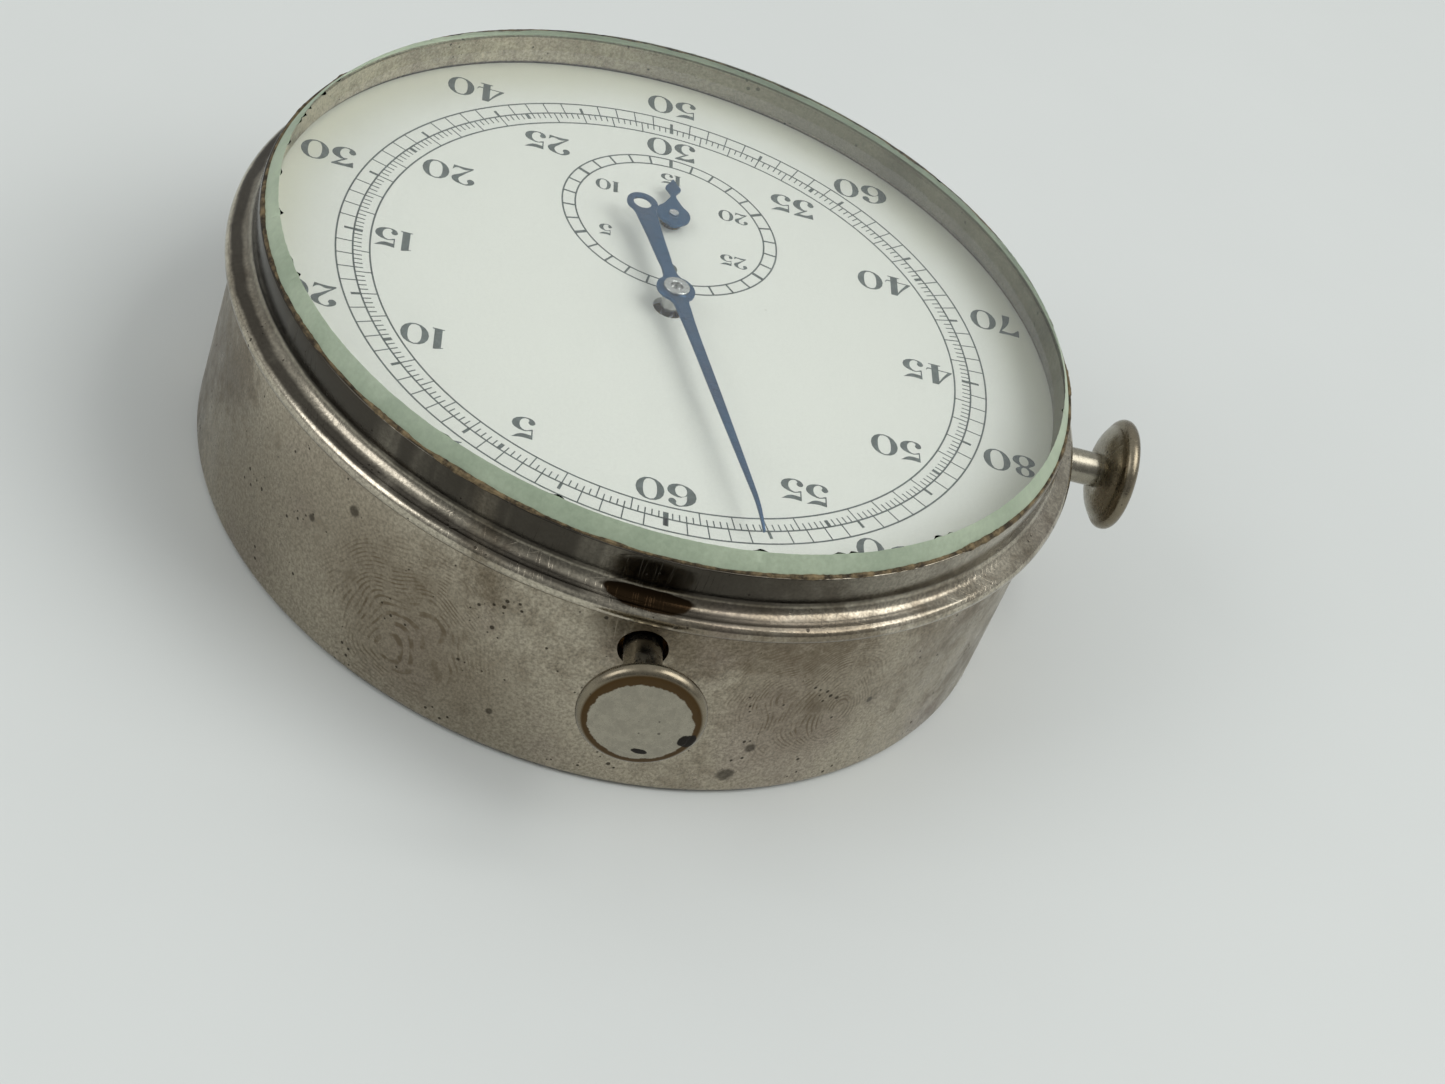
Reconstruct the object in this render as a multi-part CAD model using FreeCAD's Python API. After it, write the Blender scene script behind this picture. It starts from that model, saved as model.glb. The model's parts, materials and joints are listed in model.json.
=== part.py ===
import FreeCAD, Part
import math
import os

from FreeCAD import Vector

# Mechanical stopwatch in a drum case. Millimetres.
# The origin is the centre of the flat case back, +Z points out of the dial and +Y to twelve o'clock.

# ---------------------------------------------------------------- driving dimensions

# case
WALL_RADIUS = 29.05         # outside of the drum
WALL = 0.95                 # thickness of the drum's wall
BACK = 1.0                  # thickness of the drum's flat back
FOOT_ROUND = 0.55           # rounding between wall and back
BEAD_DOWN = 1.0             # underside of the bezel's bead below the dial's face
BEAD_ROUND = 0.65           # radius of the bead's section
BEAD_OUT = 0.95             # how far the bead stands out of the wall
NECK_WALL = 0.65            # the drum's thinner neck inside the bezel
LIP = 0.2                   # thickness of the lip round the glass
LIP_HEIGHT = 1.0            # top of the lip above the underside of the glass
COVE_DOWN = 0.9             # top of the bezel's hollow cove below the underside of the glass

# glass and dial
DIAL_TOP = 15.6             # printed face of the dial above the back; the watch hangs from it
DIAL_THICKNESS = 0.5
DIAL_HOLE = 1.12            # centre hole
REGISTER_HOLE = 0.75        # hole of the thirty-minute register
REGISTER_DOWN = 9.913       # the register's centre, towards six o'clock
GLASS_INSET = 0.85          # edge of the glass inside the wall's outside
GLASS_OVER = 2.4            # underside of the glass above the dial
GLASS_THICKNESS = 2.2
GLASS_BEVEL = 0.7           # width of the ground edge
GLASS_GROUND = 1.15         # height of the ground edge
GLASS_FIT = 0.05            # clearance round the glass

# hands
SECONDS_LENGTH = 23.0
SECONDS_TAIL = 9.43         # centre to the middle of the tail's ring
SECONDS_HUB = 1.36
SECONDS_OVER = 1.5          # underside of the seconds hand above the dial
SECONDS_AT = 57.4           # reading at rest, in seconds
MINUTE_LENGTH = 4.2
MINUTE_HUB = 1.24
MINUTE_OVER = 0.65          # underside of the minute hand above the dial
MINUTE_AT = 15.0            # reading at rest, in minutes
HAND_THICKNESS = 0.22

# push-pieces
STEM_RADIUS = 1.22
STEM_FIT = 0.04             # running clearance in the guides
HOLE_FIT = 0.38             # clearance of the stem in the wall's hole
CAP_RADIUS = 4.0
CAP_OUT = 6.45              # crown of the cap's face outside the wall
CAP_THICKNESS = 2.3
START_END = 23.0            # inner end of the start push-piece, from the centre
RESET_END = 21.0            # inner end of the reset push-piece, from the centre
COLLAR_LENGTH = 1.15        # head of the retaining screw at the stem's inner end
COLLAR_OUT = 0.38           # how far the retaining screw's head stands out round the stem
GUIDE_LENGTH = 1.8
GUIDE_WALL = 1.08           # metal of a guide beside its stem

# movement
DIAL_ROOM = 4.7             # between the main plate and the dial
PLATE_THICKNESS = 1.8
TRAIN_ROOM = 4.6            # between the two plates
BACK_PLATE_THICKNESS = 1.2
BACK_PLATE_RADIUS = 24.8
FRAME_FIT = 0.1             # clearance of the movement in the drum
WORKS_RADIUS = 26.2         # room for the works inside the two spacer rings

# gearing: teeth, leaves and modules
BARREL_TEETH = 72
SECOND_LEAVES = 12
SECOND_TEETH = 64
THIRD_LEAVES = 10
THIRD_TEETH = 60
CENTRE_LEAVES = 8
CENTRE_TEETH = 80
ESCAPE_LEAVES = 8
ESCAPE_TEETH = 15
REGISTER_LEAVES = 10
IDLER_TEETH = 50
IDLER_LEAVES = 10
MINUTE_TEETH = 60
TRAIN_MODULE = 0.22
ESCAPE_MODULE = 0.16
REGISTER_MODULE = 0.16

# escapement
ESCAPE_RADIUS = 3.6
PALLET_SPAN = 60.0          # angle at the escape wheel between the two stones
PALLET_OPEN = 0.03          # gap from the stones to the teeth with the fork in the middle
IMPULSE_RADIUS = 1.1        # impulse pin to balance staff
BALANCE_DISTANCE = 7.6      # pallet arbor to balance staff
BALANCE_RADIUS = 6.5

# small clearances and common sizes
ARBOR = 0.45
PIVOT = 0.18
PIVOT_FIT = 0.02
STUD = 0.8
STUD_FIT = 0.04
IDLER_STUD = 0.35
REGISTER_POST = 0.25
BARREL_ARBOR = 1.2
PIPE_RADIUS = 0.69          # pipe of the seconds hand
PIPE_FLANGE = 0.23          # how far the pipe's head stands out
CENTRE_POST = 0.42          # end of the centre arbor inside the pipe
JEWEL_RADIUS = 0.75
BACK_JEWEL_RADIUS = 0.6
LEVER_PIN = 0.4             # pins of the hook and the pawl in the start lever
IMPULSE_PIN = 0.15
GAP = 0.1                   # between parts that pass over each other
SCREW_HEAD = 0.9
SCREW_HEAD_HEIGHT = 0.6
SCREW_SHANK = 0.45
SCREW_HOLE = 0.47
LEVER_THICKNESS = 1.0

# ---------------------------------------------------------------- sizes worked out

INNER_RADIUS = WALL_RADIUS - WALL
NECK_RADIUS = INNER_RADIUS + NECK_WALL
BEAD_RADIUS = WALL_RADIUS + BEAD_OUT
BEAD_LOW = DIAL_TOP - BEAD_DOWN
NECK_TOP = BEAD_LOW + 2 * BEAD_ROUND
GLASS_RADIUS = WALL_RADIUS - GLASS_INSET
GLASS_LOW = DIAL_TOP + GLASS_OVER
GLASS_TOP = GLASS_LOW + GLASS_THICKNESS
BEZEL_TOP = GLASS_LOW + LIP_HEIGHT
BEZEL_COVE_TOP = GLASS_LOW - COVE_DOWN
SECONDS_LOW = DIAL_TOP + SECONDS_OVER
MINUTE_LOW = DIAL_TOP + MINUTE_OVER
DIAL_LOW = DIAL_TOP - DIAL_THICKNESS
PLATE_TOP = DIAL_LOW - DIAL_ROOM
PLATE_LOW = PLATE_TOP - PLATE_THICKNESS
BACK_PLATE_TOP = PLATE_LOW - TRAIN_ROOM
BACK_PLATE_LOW = BACK_PLATE_TOP - BACK_PLATE_THICKNESS
FRAME_RADIUS = INNER_RADIUS - FRAME_FIT
RING_MIDDLE = (FRAME_RADIUS + WORKS_RADIUS) / 2
COLLAR_RADIUS = STEM_RADIUS + COLLAR_OUT
PUSH_HEIGHT = PLATE_TOP + COLLAR_RADIUS + GAP
PUSH_HOLE = STEM_RADIUS + HOLE_FIT
CAP_FACE = WALL_RADIUS + CAP_OUT
SECONDS_ANGLE = 90 - 6 * SECONDS_AT
MINUTE_ANGLE = 90 - 12 * MINUTE_AT

# levels of the train, between the plates
BARREL_LOW = BACK_PLATE_TOP + 0.4
BARREL_HIGH = BARREL_LOW + 3.0
CENTRE_WHEEL_LOW = BACK_PLATE_TOP + 0.7
THIRD_WHEEL_LOW = BACK_PLATE_TOP + 2.2
SECOND_WHEEL_LOW = BARREL_HIGH + 0.2
ESCAPE_WHEEL_LOW = BACK_PLATE_TOP + 2.95
WHEEL_THICKNESS = 0.4
FORK_THICKNESS = 0.3
BALANCE_LOW = BACK_PLATE_TOP + 1.2
BALANCE_THICKNESS = 0.8

# levels of the work under the dial
RATCHET_LOW = PLATE_TOP + 0.2
RATCHET_HIGH = RATCHET_LOW + 0.7
HAMMER_LOW = PLATE_TOP + 1.3
HEART_LOW = HAMMER_LOW + 0.1
HEART_HIGH = HAMMER_LOW + 0.9
LEVER_LOW = PLATE_TOP + 1.85
LEVER_HIGH = LEVER_LOW + LEVER_THICKNESS
COLUMN_RATCHET_LOW = PLATE_TOP + 0.95
COLUMN_RATCHET_HIGH = COLUMN_RATCHET_LOW + 0.8
COLUMN_HIGH = LEVER_HIGH + 0.4
MINUTE_WHEEL_LOW = PLATE_TOP + 2.8
IDLER_WHEEL_LOW = PLATE_TOP + 3.6


def polar(radius, degrees, at=(0.0, 0.0)):
    """Point at a radius and an angle from +X, about a centre."""
    angle = math.radians(degrees)
    return (at[0] + radius * math.cos(angle), at[1] + radius * math.sin(angle))


def meeting(centre_a, reach_a, centre_b, reach_b, side):
    """Point at two given distances from two centres, on the side (+1 left, -1 right) of A to B."""
    dx = centre_b[0] - centre_a[0]
    dy = centre_b[1] - centre_a[1]
    span = math.hypot(dx, dy)
    along = (reach_a ** 2 - reach_b ** 2 + span ** 2) / (2 * span)
    off = side * math.sqrt(reach_a ** 2 - along ** 2)
    return (centre_a[0] + (along * dx - off * dy) / span, centre_a[1] + (along * dy + off * dx) / span)


def direction(start, end):
    """Angle in degrees from one point to another."""
    return math.degrees(math.atan2(end[1] - start[1], end[0] - start[0]))


# ---------------------------------------------------------------- where the arbors stand

CENTRE = (0.0, 0.0)
REGISTER = (0.0, -REGISTER_DOWN)
BARREL = polar(16.0, 82.0)
THIRD = polar(TRAIN_MODULE * (THIRD_TEETH + CENTRE_LEAVES) / 2, 10.0)
SECOND = meeting(
    BARREL, TRAIN_MODULE * (BARREL_TEETH + SECOND_LEAVES) / 2,
    THIRD, TRAIN_MODULE * (SECOND_TEETH + THIRD_LEAVES) / 2, 1,
)
ESCAPE = polar(ESCAPE_MODULE * (CENTRE_TEETH + ESCAPE_LEAVES) / 2, 240.0)
ESCAPEMENT_LINE = 200.0
PALLET_DISTANCE = ESCAPE_RADIUS / math.cos(math.radians(PALLET_SPAN / 2))
PALLET = polar(PALLET_DISTANCE, ESCAPEMENT_LINE, ESCAPE)
BALANCE = polar(BALANCE_DISTANCE, ESCAPEMENT_LINE, PALLET)
IDLER = meeting(
    CENTRE, REGISTER_MODULE * (REGISTER_LEAVES + IDLER_TEETH) / 2,
    REGISTER, REGISTER_MODULE * (IDLER_LEAVES + MINUTE_TEETH) / 2, 1,
)

COLUMN = (-9.2, 16.6)
START_PIVOT = (-15.0, 18.0)
BRAKE_PIVOT = (-16.2, 7.5)
HAMMER_PIVOT = (-14.0, -18.0)
CLICK_PIVOT = polar(6.5, 215.0, BARREL)
SECONDS_HEART = 3.0         # longest radius of each heart
MINUTE_HEART = 2.3
SECONDS_FACE = 5.3          # the hammer's two faces at rest, left of the hearts' centres
MINUTE_FACE = 3.5
RATCHET_TEETH = 14
RATCHET_RADIUS = 4.0
RATCHET_DEPTH = 0.7
RATCHET_ANGLE = 25.0        # where the pawl meets a tooth
PAWL_GAP = 0.06             # from the pawl's point to the teeth's tips
CLICK_GAP = 0.07
CLICK_TEETH = 7             # teeth from the pawl round to the click
COLUMN_TEETH = 12
COLUMN_RATCHET_RADIUS = 3.2
COLUMN_RATCHET_DEPTH = 0.55
COLUMN_RADIUS = 2.4
COLUMN_CORE = 1.35
COLUMN_GAP_ANGLE = 230.0    # middle of the first gap between two columns
HOOK_PIN = (-5.3, 21.3)
PAWL_PIN = (8.0, 20.4)
LEVER_BENDS = [(-12.5, 21.6), (0.0, 21.6), (8.6, 20.4)]
LEVER_HALF = 1.1
LEVER_BOSS = STUD + 0.9     # boss of the start lever and the hammer round their studs
LEVER_NOSE = 1.3            # round nose under the start push-piece
HAMMER_PAD = 1.2            # round pad beside the reset push-piece
HAMMER_ARM_BEND = (-8.2, -9.9)
HAMMER_ARM = 8.2            # the hammer's arm behind its faces, left of the hearts' centres
PILLARS = [(19.7, -5.0), (-12.0, 16.0), (2.0, -19.0), (-20.5, 4.0)]
COCK_FOOT = (-15.5, -19.3)
COCK_FOOT_RADIUS = 1.4
BLADE_HEIGHT = 0.6
BLADES = {
    "start_lever_spring": (LEVER_LOW, [(15.5, 16.2), (10.5, 18.2), (6.4, 18.2), (3.0, 19.75)]),
    "hammer_spring": (HAMMER_LOW, [(-13.6, -4.6), (-14.2, -7.8), (-16.7, -6.3)]),
    "click_spring": (RATCHET_LOW + 0.05, [(-6.6, 8.0), (-5.6, 10.2), (-4.62, 12.2)]),
    "brake_spring": (LEVER_LOW, [(-7.2, 3.9), (-9.8, 3.9), (-12.38, 2.78)]),
}
BRAKE_PIN_AT = polar(BALANCE_RADIUS + 1.3, 50.0, BALANCE)
BRAKE_PIN = 0.3
FRAME_SCREW_ANGLES = [30, 150, 285]
DIAL_FOOT_ANGLES = [60, 215, 330]

# ---------------------------------------------------------------- shapes


def disc(radius, low, high, at=CENTRE):
    """Upright cylinder between two heights."""
    return Part.makeCylinder(radius, high - low, Vector(at[0], at[1], low))


def ring(outer, inner, low, high, at=CENTRE):
    """Upright tube between two heights."""
    return disc(outer, low, high, at).cut(disc(inner, low, high, at))


def lying_disc(radius, start, end, degrees, height):
    """Cylinder on a level axis through the middle of the watch, between two distances from it."""
    near = polar(start, degrees)
    aim = polar(1.0, degrees)
    return Part.makeCylinder(radius, end - start, Vector(near[0], near[1], height), Vector(aim[0], aim[1], 0))


def prism(points, low, high):
    """Upright prism on a closed outline of (x, y) points."""
    corners = [Vector(x, y, low) for x, y in points]
    face = Part.Face(Part.makePolygon(corners + corners[:1]))
    return face.extrude(Vector(0, 0, high - low))


def section_edges(steps):
    """Edges of a closed section in the XZ plane: a step is (r, z), or ((r, z), (r, z)) for an arc."""
    edges = []
    start = Vector(steps[0][0], 0, steps[0][1])
    here = start
    for step in steps[1:] + steps[:1]:
        if isinstance(step[0], tuple):
            middle = Vector(step[0][0], 0, step[0][1])
            end = Vector(step[1][0], 0, step[1][1])
            edges.append(Part.Arc(here, middle, end).toShape())
        else:
            end = Vector(step[0], 0, step[1])
            edges.append(Part.LineSegment(here, end).toShape())
        here = end
    return edges


def turned(steps, at=CENTRE):
    """Solid turned about an upright axis from a closed section of radii and heights."""
    face = Part.Face(Part.Wire(section_edges(steps)))
    solid = face.revolve(Vector(0, 0, 0), Vector(0, 0, 1), 360)
    solid.translate(Vector(at[0], at[1], 0))
    return solid


def fused(shapes):
    """One solid from overlapping ones, without seams between flush faces."""
    return shapes[0].multiFuse(shapes[1:]).removeSplitter()


def bar(points, half_width, low, high):
    """Flat bar with round ends and corners along a line of points."""
    solids = []
    for start, end in zip(points, points[1:]):
        angle = direction(start, end)
        left = polar(half_width, angle + 90)
        corners = [
            (start[0] + left[0], start[1] + left[1]),
            (start[0] - left[0], start[1] - left[1]),
            (end[0] - left[0], end[1] - left[1]),
            (end[0] + left[0], end[1] + left[1]),
        ]
        solids.append(prism(corners, low, high))
    for point in points:
        solids.append(disc(half_width, low, high, point))
    return fused(solids)


def block(length, width, low, high, at, degrees):
    """Upright block centred on a point, its length along an angle."""
    along = polar(length / 2, degrees)
    across = polar(width / 2, degrees + 90)
    signs = [(1, 1), (-1, 1), (-1, -1), (1, -1)]
    corners = [
        (at[0] + a * along[0] + b * across[0], at[1] + a * along[1] + b * across[1])
        for a, b in signs
    ]
    return prism(corners, low, high)


def cam(zero_angle, least, most, low, high, at):
    """Heart cam: its radius grows evenly both ways from the zero angle to the point."""
    steps = 8
    halves = []
    for side in (1, -1):
        points = []
        for k in range(steps + 1):
            x, y = polar(least + (most - least) * k / steps, zero_angle + side * 180.0 * k / steps, at)
            points.append(Vector(x, y, low))
        curve = Part.BSplineCurve()
        curve.interpolate(points)
        halves.append(curve.toShape())
    face = Part.Face(Part.Wire(halves))
    return face.extrude(Vector(0, 0, high - low))


def spiral(inner, outer, turns, thickness, low, high, at, start_angle=0.0):
    """Flat ribbon wound on edge from an inner to an outer radius."""
    steps = int(turns * 10)
    sides = []
    for shift in (0.0, thickness):
        points = []
        for k in range(steps + 1):
            radius = inner + (outer - inner) * k / steps + shift
            x, y = polar(radius, start_angle + 360.0 * turns * k / steps, at)
            points.append(Vector(x, y, low))
        curve = Part.BSplineCurve()
        curve.interpolate(points)
        sides.append((curve.toShape(), points[0], points[-1]))
    (inside, inside_start, inside_end), (outside, outside_start, outside_end) = sides
    tail = Part.LineSegment(inside_end, outside_end).toShape()
    head = Part.LineSegment(outside_start, inside_start).toShape()
    face = Part.Face(Part.Wire([inside, tail, outside, head]))
    return face.extrude(Vector(0, 0, high - low))


def epicycloid(pitch, rolling, height):
    """Angle and radius of the epicycloid where it stands a height above the pitch circle."""
    low = 0.0
    high = math.pi * rolling / pitch
    for _ in range(30):
        roll = (low + high) / 2
        turn = roll * (pitch + rolling) / rolling
        x = (pitch + rolling) * math.cos(roll) - rolling * math.cos(turn)
        y = (pitch + rolling) * math.sin(roll) - rolling * math.sin(turn)
        if math.hypot(x, y) < pitch + height:
            low = roll
        else:
            high = roll
    return math.atan2(y, x), math.hypot(x, y)


def wheel(teeth, module, mate, low, high, at, tooth_angle):
    """Toothed disc with straight roots and cycloidal tips that drive a pinion of mate leaves."""
    pitch = teeth * module / 2
    rolling = mate * module / 4
    half_tooth = math.degrees(0.76 * module / pitch)
    root = pitch - 1.15 * module
    flank = [(root, half_tooth), (pitch, half_tooth)]
    for height in (0.55 * module, 1.15 * module):
        lean, radius = epicycloid(pitch, rolling, height)
        flank.append((radius, half_tooth - math.degrees(lean)))
    points = []
    for k in range(teeth):
        middle = tooth_angle + 360.0 * k / teeth
        points += [polar(radius, middle - angle, at) for radius, angle in flank]
        points += [polar(radius, middle + angle, at) for radius, angle in reversed(flank)]
    return prism(points, low, high)


def pinion(leaves, module, low, high, at, tooth_angle):
    """Solid pinion with straight leaves and rounded tips."""
    pitch = leaves * module / 2
    half_leaf = math.degrees(0.5 * module / pitch)
    root = pitch - 1.6 * module
    flank = [(root, half_leaf), (pitch, half_leaf), (pitch + 0.45 * module, half_leaf * 0.55)]
    points = []
    for k in range(leaves):
        middle = tooth_angle + 360.0 * k / leaves
        points += [polar(radius, middle - angle, at) for radius, angle in flank]
        points += [polar(radius, middle + angle, at) for radius, angle in reversed(flank)]
    return prism(points, low, high)


def crossed_out(solid, at, hub, rim, arms, low, high):
    """A wheel with the windows between its arms cut away."""
    windows = ring(rim, hub, low, high, at)
    for k in range(arms):
        arm_middle = polar((hub + rim) / 2, 360.0 * k / arms + 18.0, at)
        arm_angle = 360.0 * k / arms + 18.0
        windows = windows.cut(block(rim - hub + 1.0, 0.09 * rim + 0.25, low, high, arm_middle, arm_angle))
    return solid.cut(windows)


def leaf_space(leaves, mate_angle):
    """Angle of a leaf that puts a space of the pinion towards its wheel."""
    return mate_angle + 180.0 + 180.0 / leaves


def screw(at, head, head_low, head_high, shank, end, slot_up):
    """Cheese-head screw on an upright axis, slotted in the end of its head."""
    body = disc(head, head_low, head_high, at)
    if slot_up:
        thread = disc(shank, end, head_low, at)
        slot = block(3 * head, 0.3, head_high - 0.3, head_high, at, 35.0)
    else:
        thread = disc(shank, head_high, end, at)
        slot = block(3 * head, 0.3, head_low, head_low + 0.3, at, 35.0)
    return fused([body, thread]).cut(slot)


def export(name, shape):
    """Write one node as parts/NAME.step, as one solid or as a group of separate ones."""
    solids = shape.Solids
    result = solids[0] if len(solids) == 1 else Part.makeCompound(solids)
    result.exportStep("parts/" + name + ".step")


# ---------------------------------------------------------------- case


def make_case():
    """Drum, bezel, glass and the two spacer rings that carry the movement and the dial."""
    foot_arc = FOOT_ROUND * (1 - math.sqrt(0.5))
    drum = turned([
        (0.0, 0.0),
        (WALL_RADIUS - FOOT_ROUND, 0.0),
        ((WALL_RADIUS - foot_arc, foot_arc), (WALL_RADIUS, FOOT_ROUND)),
        (WALL_RADIUS, BEAD_LOW),
        (NECK_RADIUS, BEAD_LOW),
        (NECK_RADIUS, NECK_TOP),
        (INNER_RADIUS, NECK_TOP),
        (INNER_RADIUS, BACK),
        (0.0, BACK),
    ])
    for degrees in (90, 180):
        drum = drum.cut(lying_disc(PUSH_HOLE, WORKS_RADIUS, BEAD_RADIUS, degrees, PUSH_HEIGHT))
    export("case_drum", drum)

    bead_middle = BEAD_LOW + BEAD_ROUND
    bead_in = BEAD_RADIUS - BEAD_ROUND
    lip_radius = GLASS_RADIUS + GLASS_FIT + LIP
    cove_foot = bead_in - 0.1
    cove_middle = (
        lip_radius + 0.3 * (cove_foot - lip_radius),
        NECK_TOP + 0.3 * (BEZEL_COVE_TOP - NECK_TOP),
    )
    glass_seat = INNER_RADIUS - 0.3
    bezel = turned([
        (NECK_RADIUS + GLASS_FIT, BEAD_LOW),
        (bead_in, BEAD_LOW),
        ((BEAD_RADIUS, bead_middle), (bead_in, NECK_TOP)),
        (cove_foot, NECK_TOP + 0.05),
        (cove_middle, (lip_radius, BEZEL_COVE_TOP)),
        (lip_radius, BEZEL_TOP - LIP / 2),
        (lip_radius - LIP / 3, BEZEL_TOP),
        (GLASS_RADIUS + GLASS_FIT, BEZEL_TOP),
        (GLASS_RADIUS + GLASS_FIT, GLASS_LOW),
        (glass_seat, GLASS_LOW),
        (glass_seat, NECK_TOP + GLASS_FIT),
        (NECK_RADIUS + GLASS_FIT, NECK_TOP + GLASS_FIT),
    ])
    export("bezel_ring", bezel)

    export("crystal", turned([
        (0.0, GLASS_LOW),
        (GLASS_RADIUS, GLASS_LOW),
        (GLASS_RADIUS, GLASS_TOP - GLASS_GROUND),
        (GLASS_RADIUS - GLASS_BEVEL, GLASS_TOP),
        (0.0, GLASS_TOP),
    ]))

    movement_ring = ring(FRAME_RADIUS, WORKS_RADIUS, BACK, PLATE_LOW)
    dial_ring = ring(FRAME_RADIUS, WORKS_RADIUS, PLATE_TOP, DIAL_LOW)
    for degrees in (90, 180):
        passage = lying_disc(PUSH_HOLE, WORKS_RADIUS - 1, BEAD_RADIUS, degrees, PUSH_HEIGHT)
        dial_ring = dial_ring.cut(passage)
    screws = []
    for degrees in FRAME_SCREW_ANGLES:
        at = polar(RING_MIDDLE, degrees)
        head_low = PLATE_TOP + 3.0
        movement_ring = movement_ring.cut(disc(0.4, PLATE_LOW - 3.0, PLATE_LOW, at))
        dial_ring = dial_ring.cut(disc(0.75, head_low, DIAL_LOW, at))
        dial_ring = dial_ring.cut(disc(0.4, PLATE_TOP, head_low, at))
        screws.append(screw(at, 0.7, head_low, head_low + 0.7, 0.38, PLATE_LOW - 2.8, True))
    for degrees in DIAL_FOOT_ANGLES:
        at = polar(RING_MIDDLE, degrees)
        dial_ring = dial_ring.cut(disc(0.5, DIAL_LOW - 2.6, DIAL_LOW, at))
    export("movement_ring", movement_ring)
    export("dial_ring", dial_ring)
    export("frame_screws", Part.makeCompound(screws))


def make_dial():
    """Dial disc with its two holes and its soldered feet."""
    dial = disc(FRAME_RADIUS, DIAL_LOW, DIAL_TOP)
    dial = dial.cut(disc(DIAL_HOLE, DIAL_LOW, DIAL_TOP))
    dial = dial.cut(disc(REGISTER_HOLE, DIAL_LOW, DIAL_TOP, REGISTER))
    feet = [disc(0.45, DIAL_LOW - 2.4, DIAL_LOW, polar(RING_MIDDLE, degrees)) for degrees in DIAL_FOOT_ANGLES]
    export("dial", fused([dial] + feet))


def make_hands():
    """Seconds hand with a ring on its tail, its pipe, and the register's spade hand."""
    low = SECONDS_LOW
    high = low + HAND_THICKNESS
    blade = prism([
        (0.0, 0.54), (SECONDS_LENGTH * 0.9, 0.16), (SECONDS_LENGTH, 0.08),
        (SECONDS_LENGTH, -0.08), (SECONDS_LENGTH * 0.9, -0.16), (0.0, -0.54),
    ], low, high)
    tail = prism([
        (0.0, 0.46), (-2.2, 0.46), (-SECONDS_TAIL + 1.4, 0.72),
        (-SECONDS_TAIL, 0.8), (-SECONDS_TAIL, -0.8), (-SECONDS_TAIL + 1.4, -0.72),
        (-2.2, -0.46), (0.0, -0.46),
    ], low, high)
    hand = fused([disc(SECONDS_HUB, low, high), blade, tail, disc(1.12, low, high, (-SECONDS_TAIL, 0.0))])
    hand = hand.cut(disc(0.65, low, high, (-SECONDS_TAIL, 0.0)))
    hand = hand.cut(disc(PIPE_RADIUS, low, high))
    hand.rotate(Vector(0, 0, 0), Vector(0, 0, 1), SECONDS_ANGLE)
    export("seconds_hand", hand)

    flange = PIPE_RADIUS + PIPE_FLANGE
    export("seconds_hand_pipe", turned([
        (CENTRE_POST, DIAL_TOP + 0.2), (PIPE_RADIUS, DIAL_TOP + 0.2), (PIPE_RADIUS, high),
        (flange, high), (flange, high + 0.24), (CENTRE_POST, high + 0.24),
    ]))

    low = MINUTE_LOW
    high = low + HAND_THICKNESS
    half = 0.22
    tip = MINUTE_LENGTH
    spade = prism([
        (0.0, half), (tip - 1.7, half), (tip - 1.1, 0.58), (tip - 0.6, 0.5), (tip, 0.05),
        (tip, -0.05), (tip - 0.6, -0.5), (tip - 1.1, -0.58), (tip - 1.7, -half), (0.0, -half),
    ], low, high)
    tail = prism([(0.0, 0.3), (-2.1, 0.42), (-2.1, -0.42), (0.0, -0.3)], low, high)
    hand = fused([disc(MINUTE_HUB, low, high), spade, tail]).cut(disc(0.34, low, high))
    hand.rotate(Vector(0, 0, 0), Vector(0, 0, 1), MINUTE_ANGLE)
    hand.translate(Vector(REGISTER[0], REGISTER[1], 0))
    export("minute_hand", hand)


# ---------------------------------------------------------------- frame of the movement


def pivot_places():
    """Centres of the arbors that run in jewels in both plates."""
    return [CENTRE, SECOND, THIRD, ESCAPE, PALLET]


def jewel(at, hole, low, high, outer=JEWEL_RADIUS):
    """Ring-shaped bearing with a running hole."""
    return ring(outer, hole + PIVOT_FIT, low, high, at)


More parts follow.
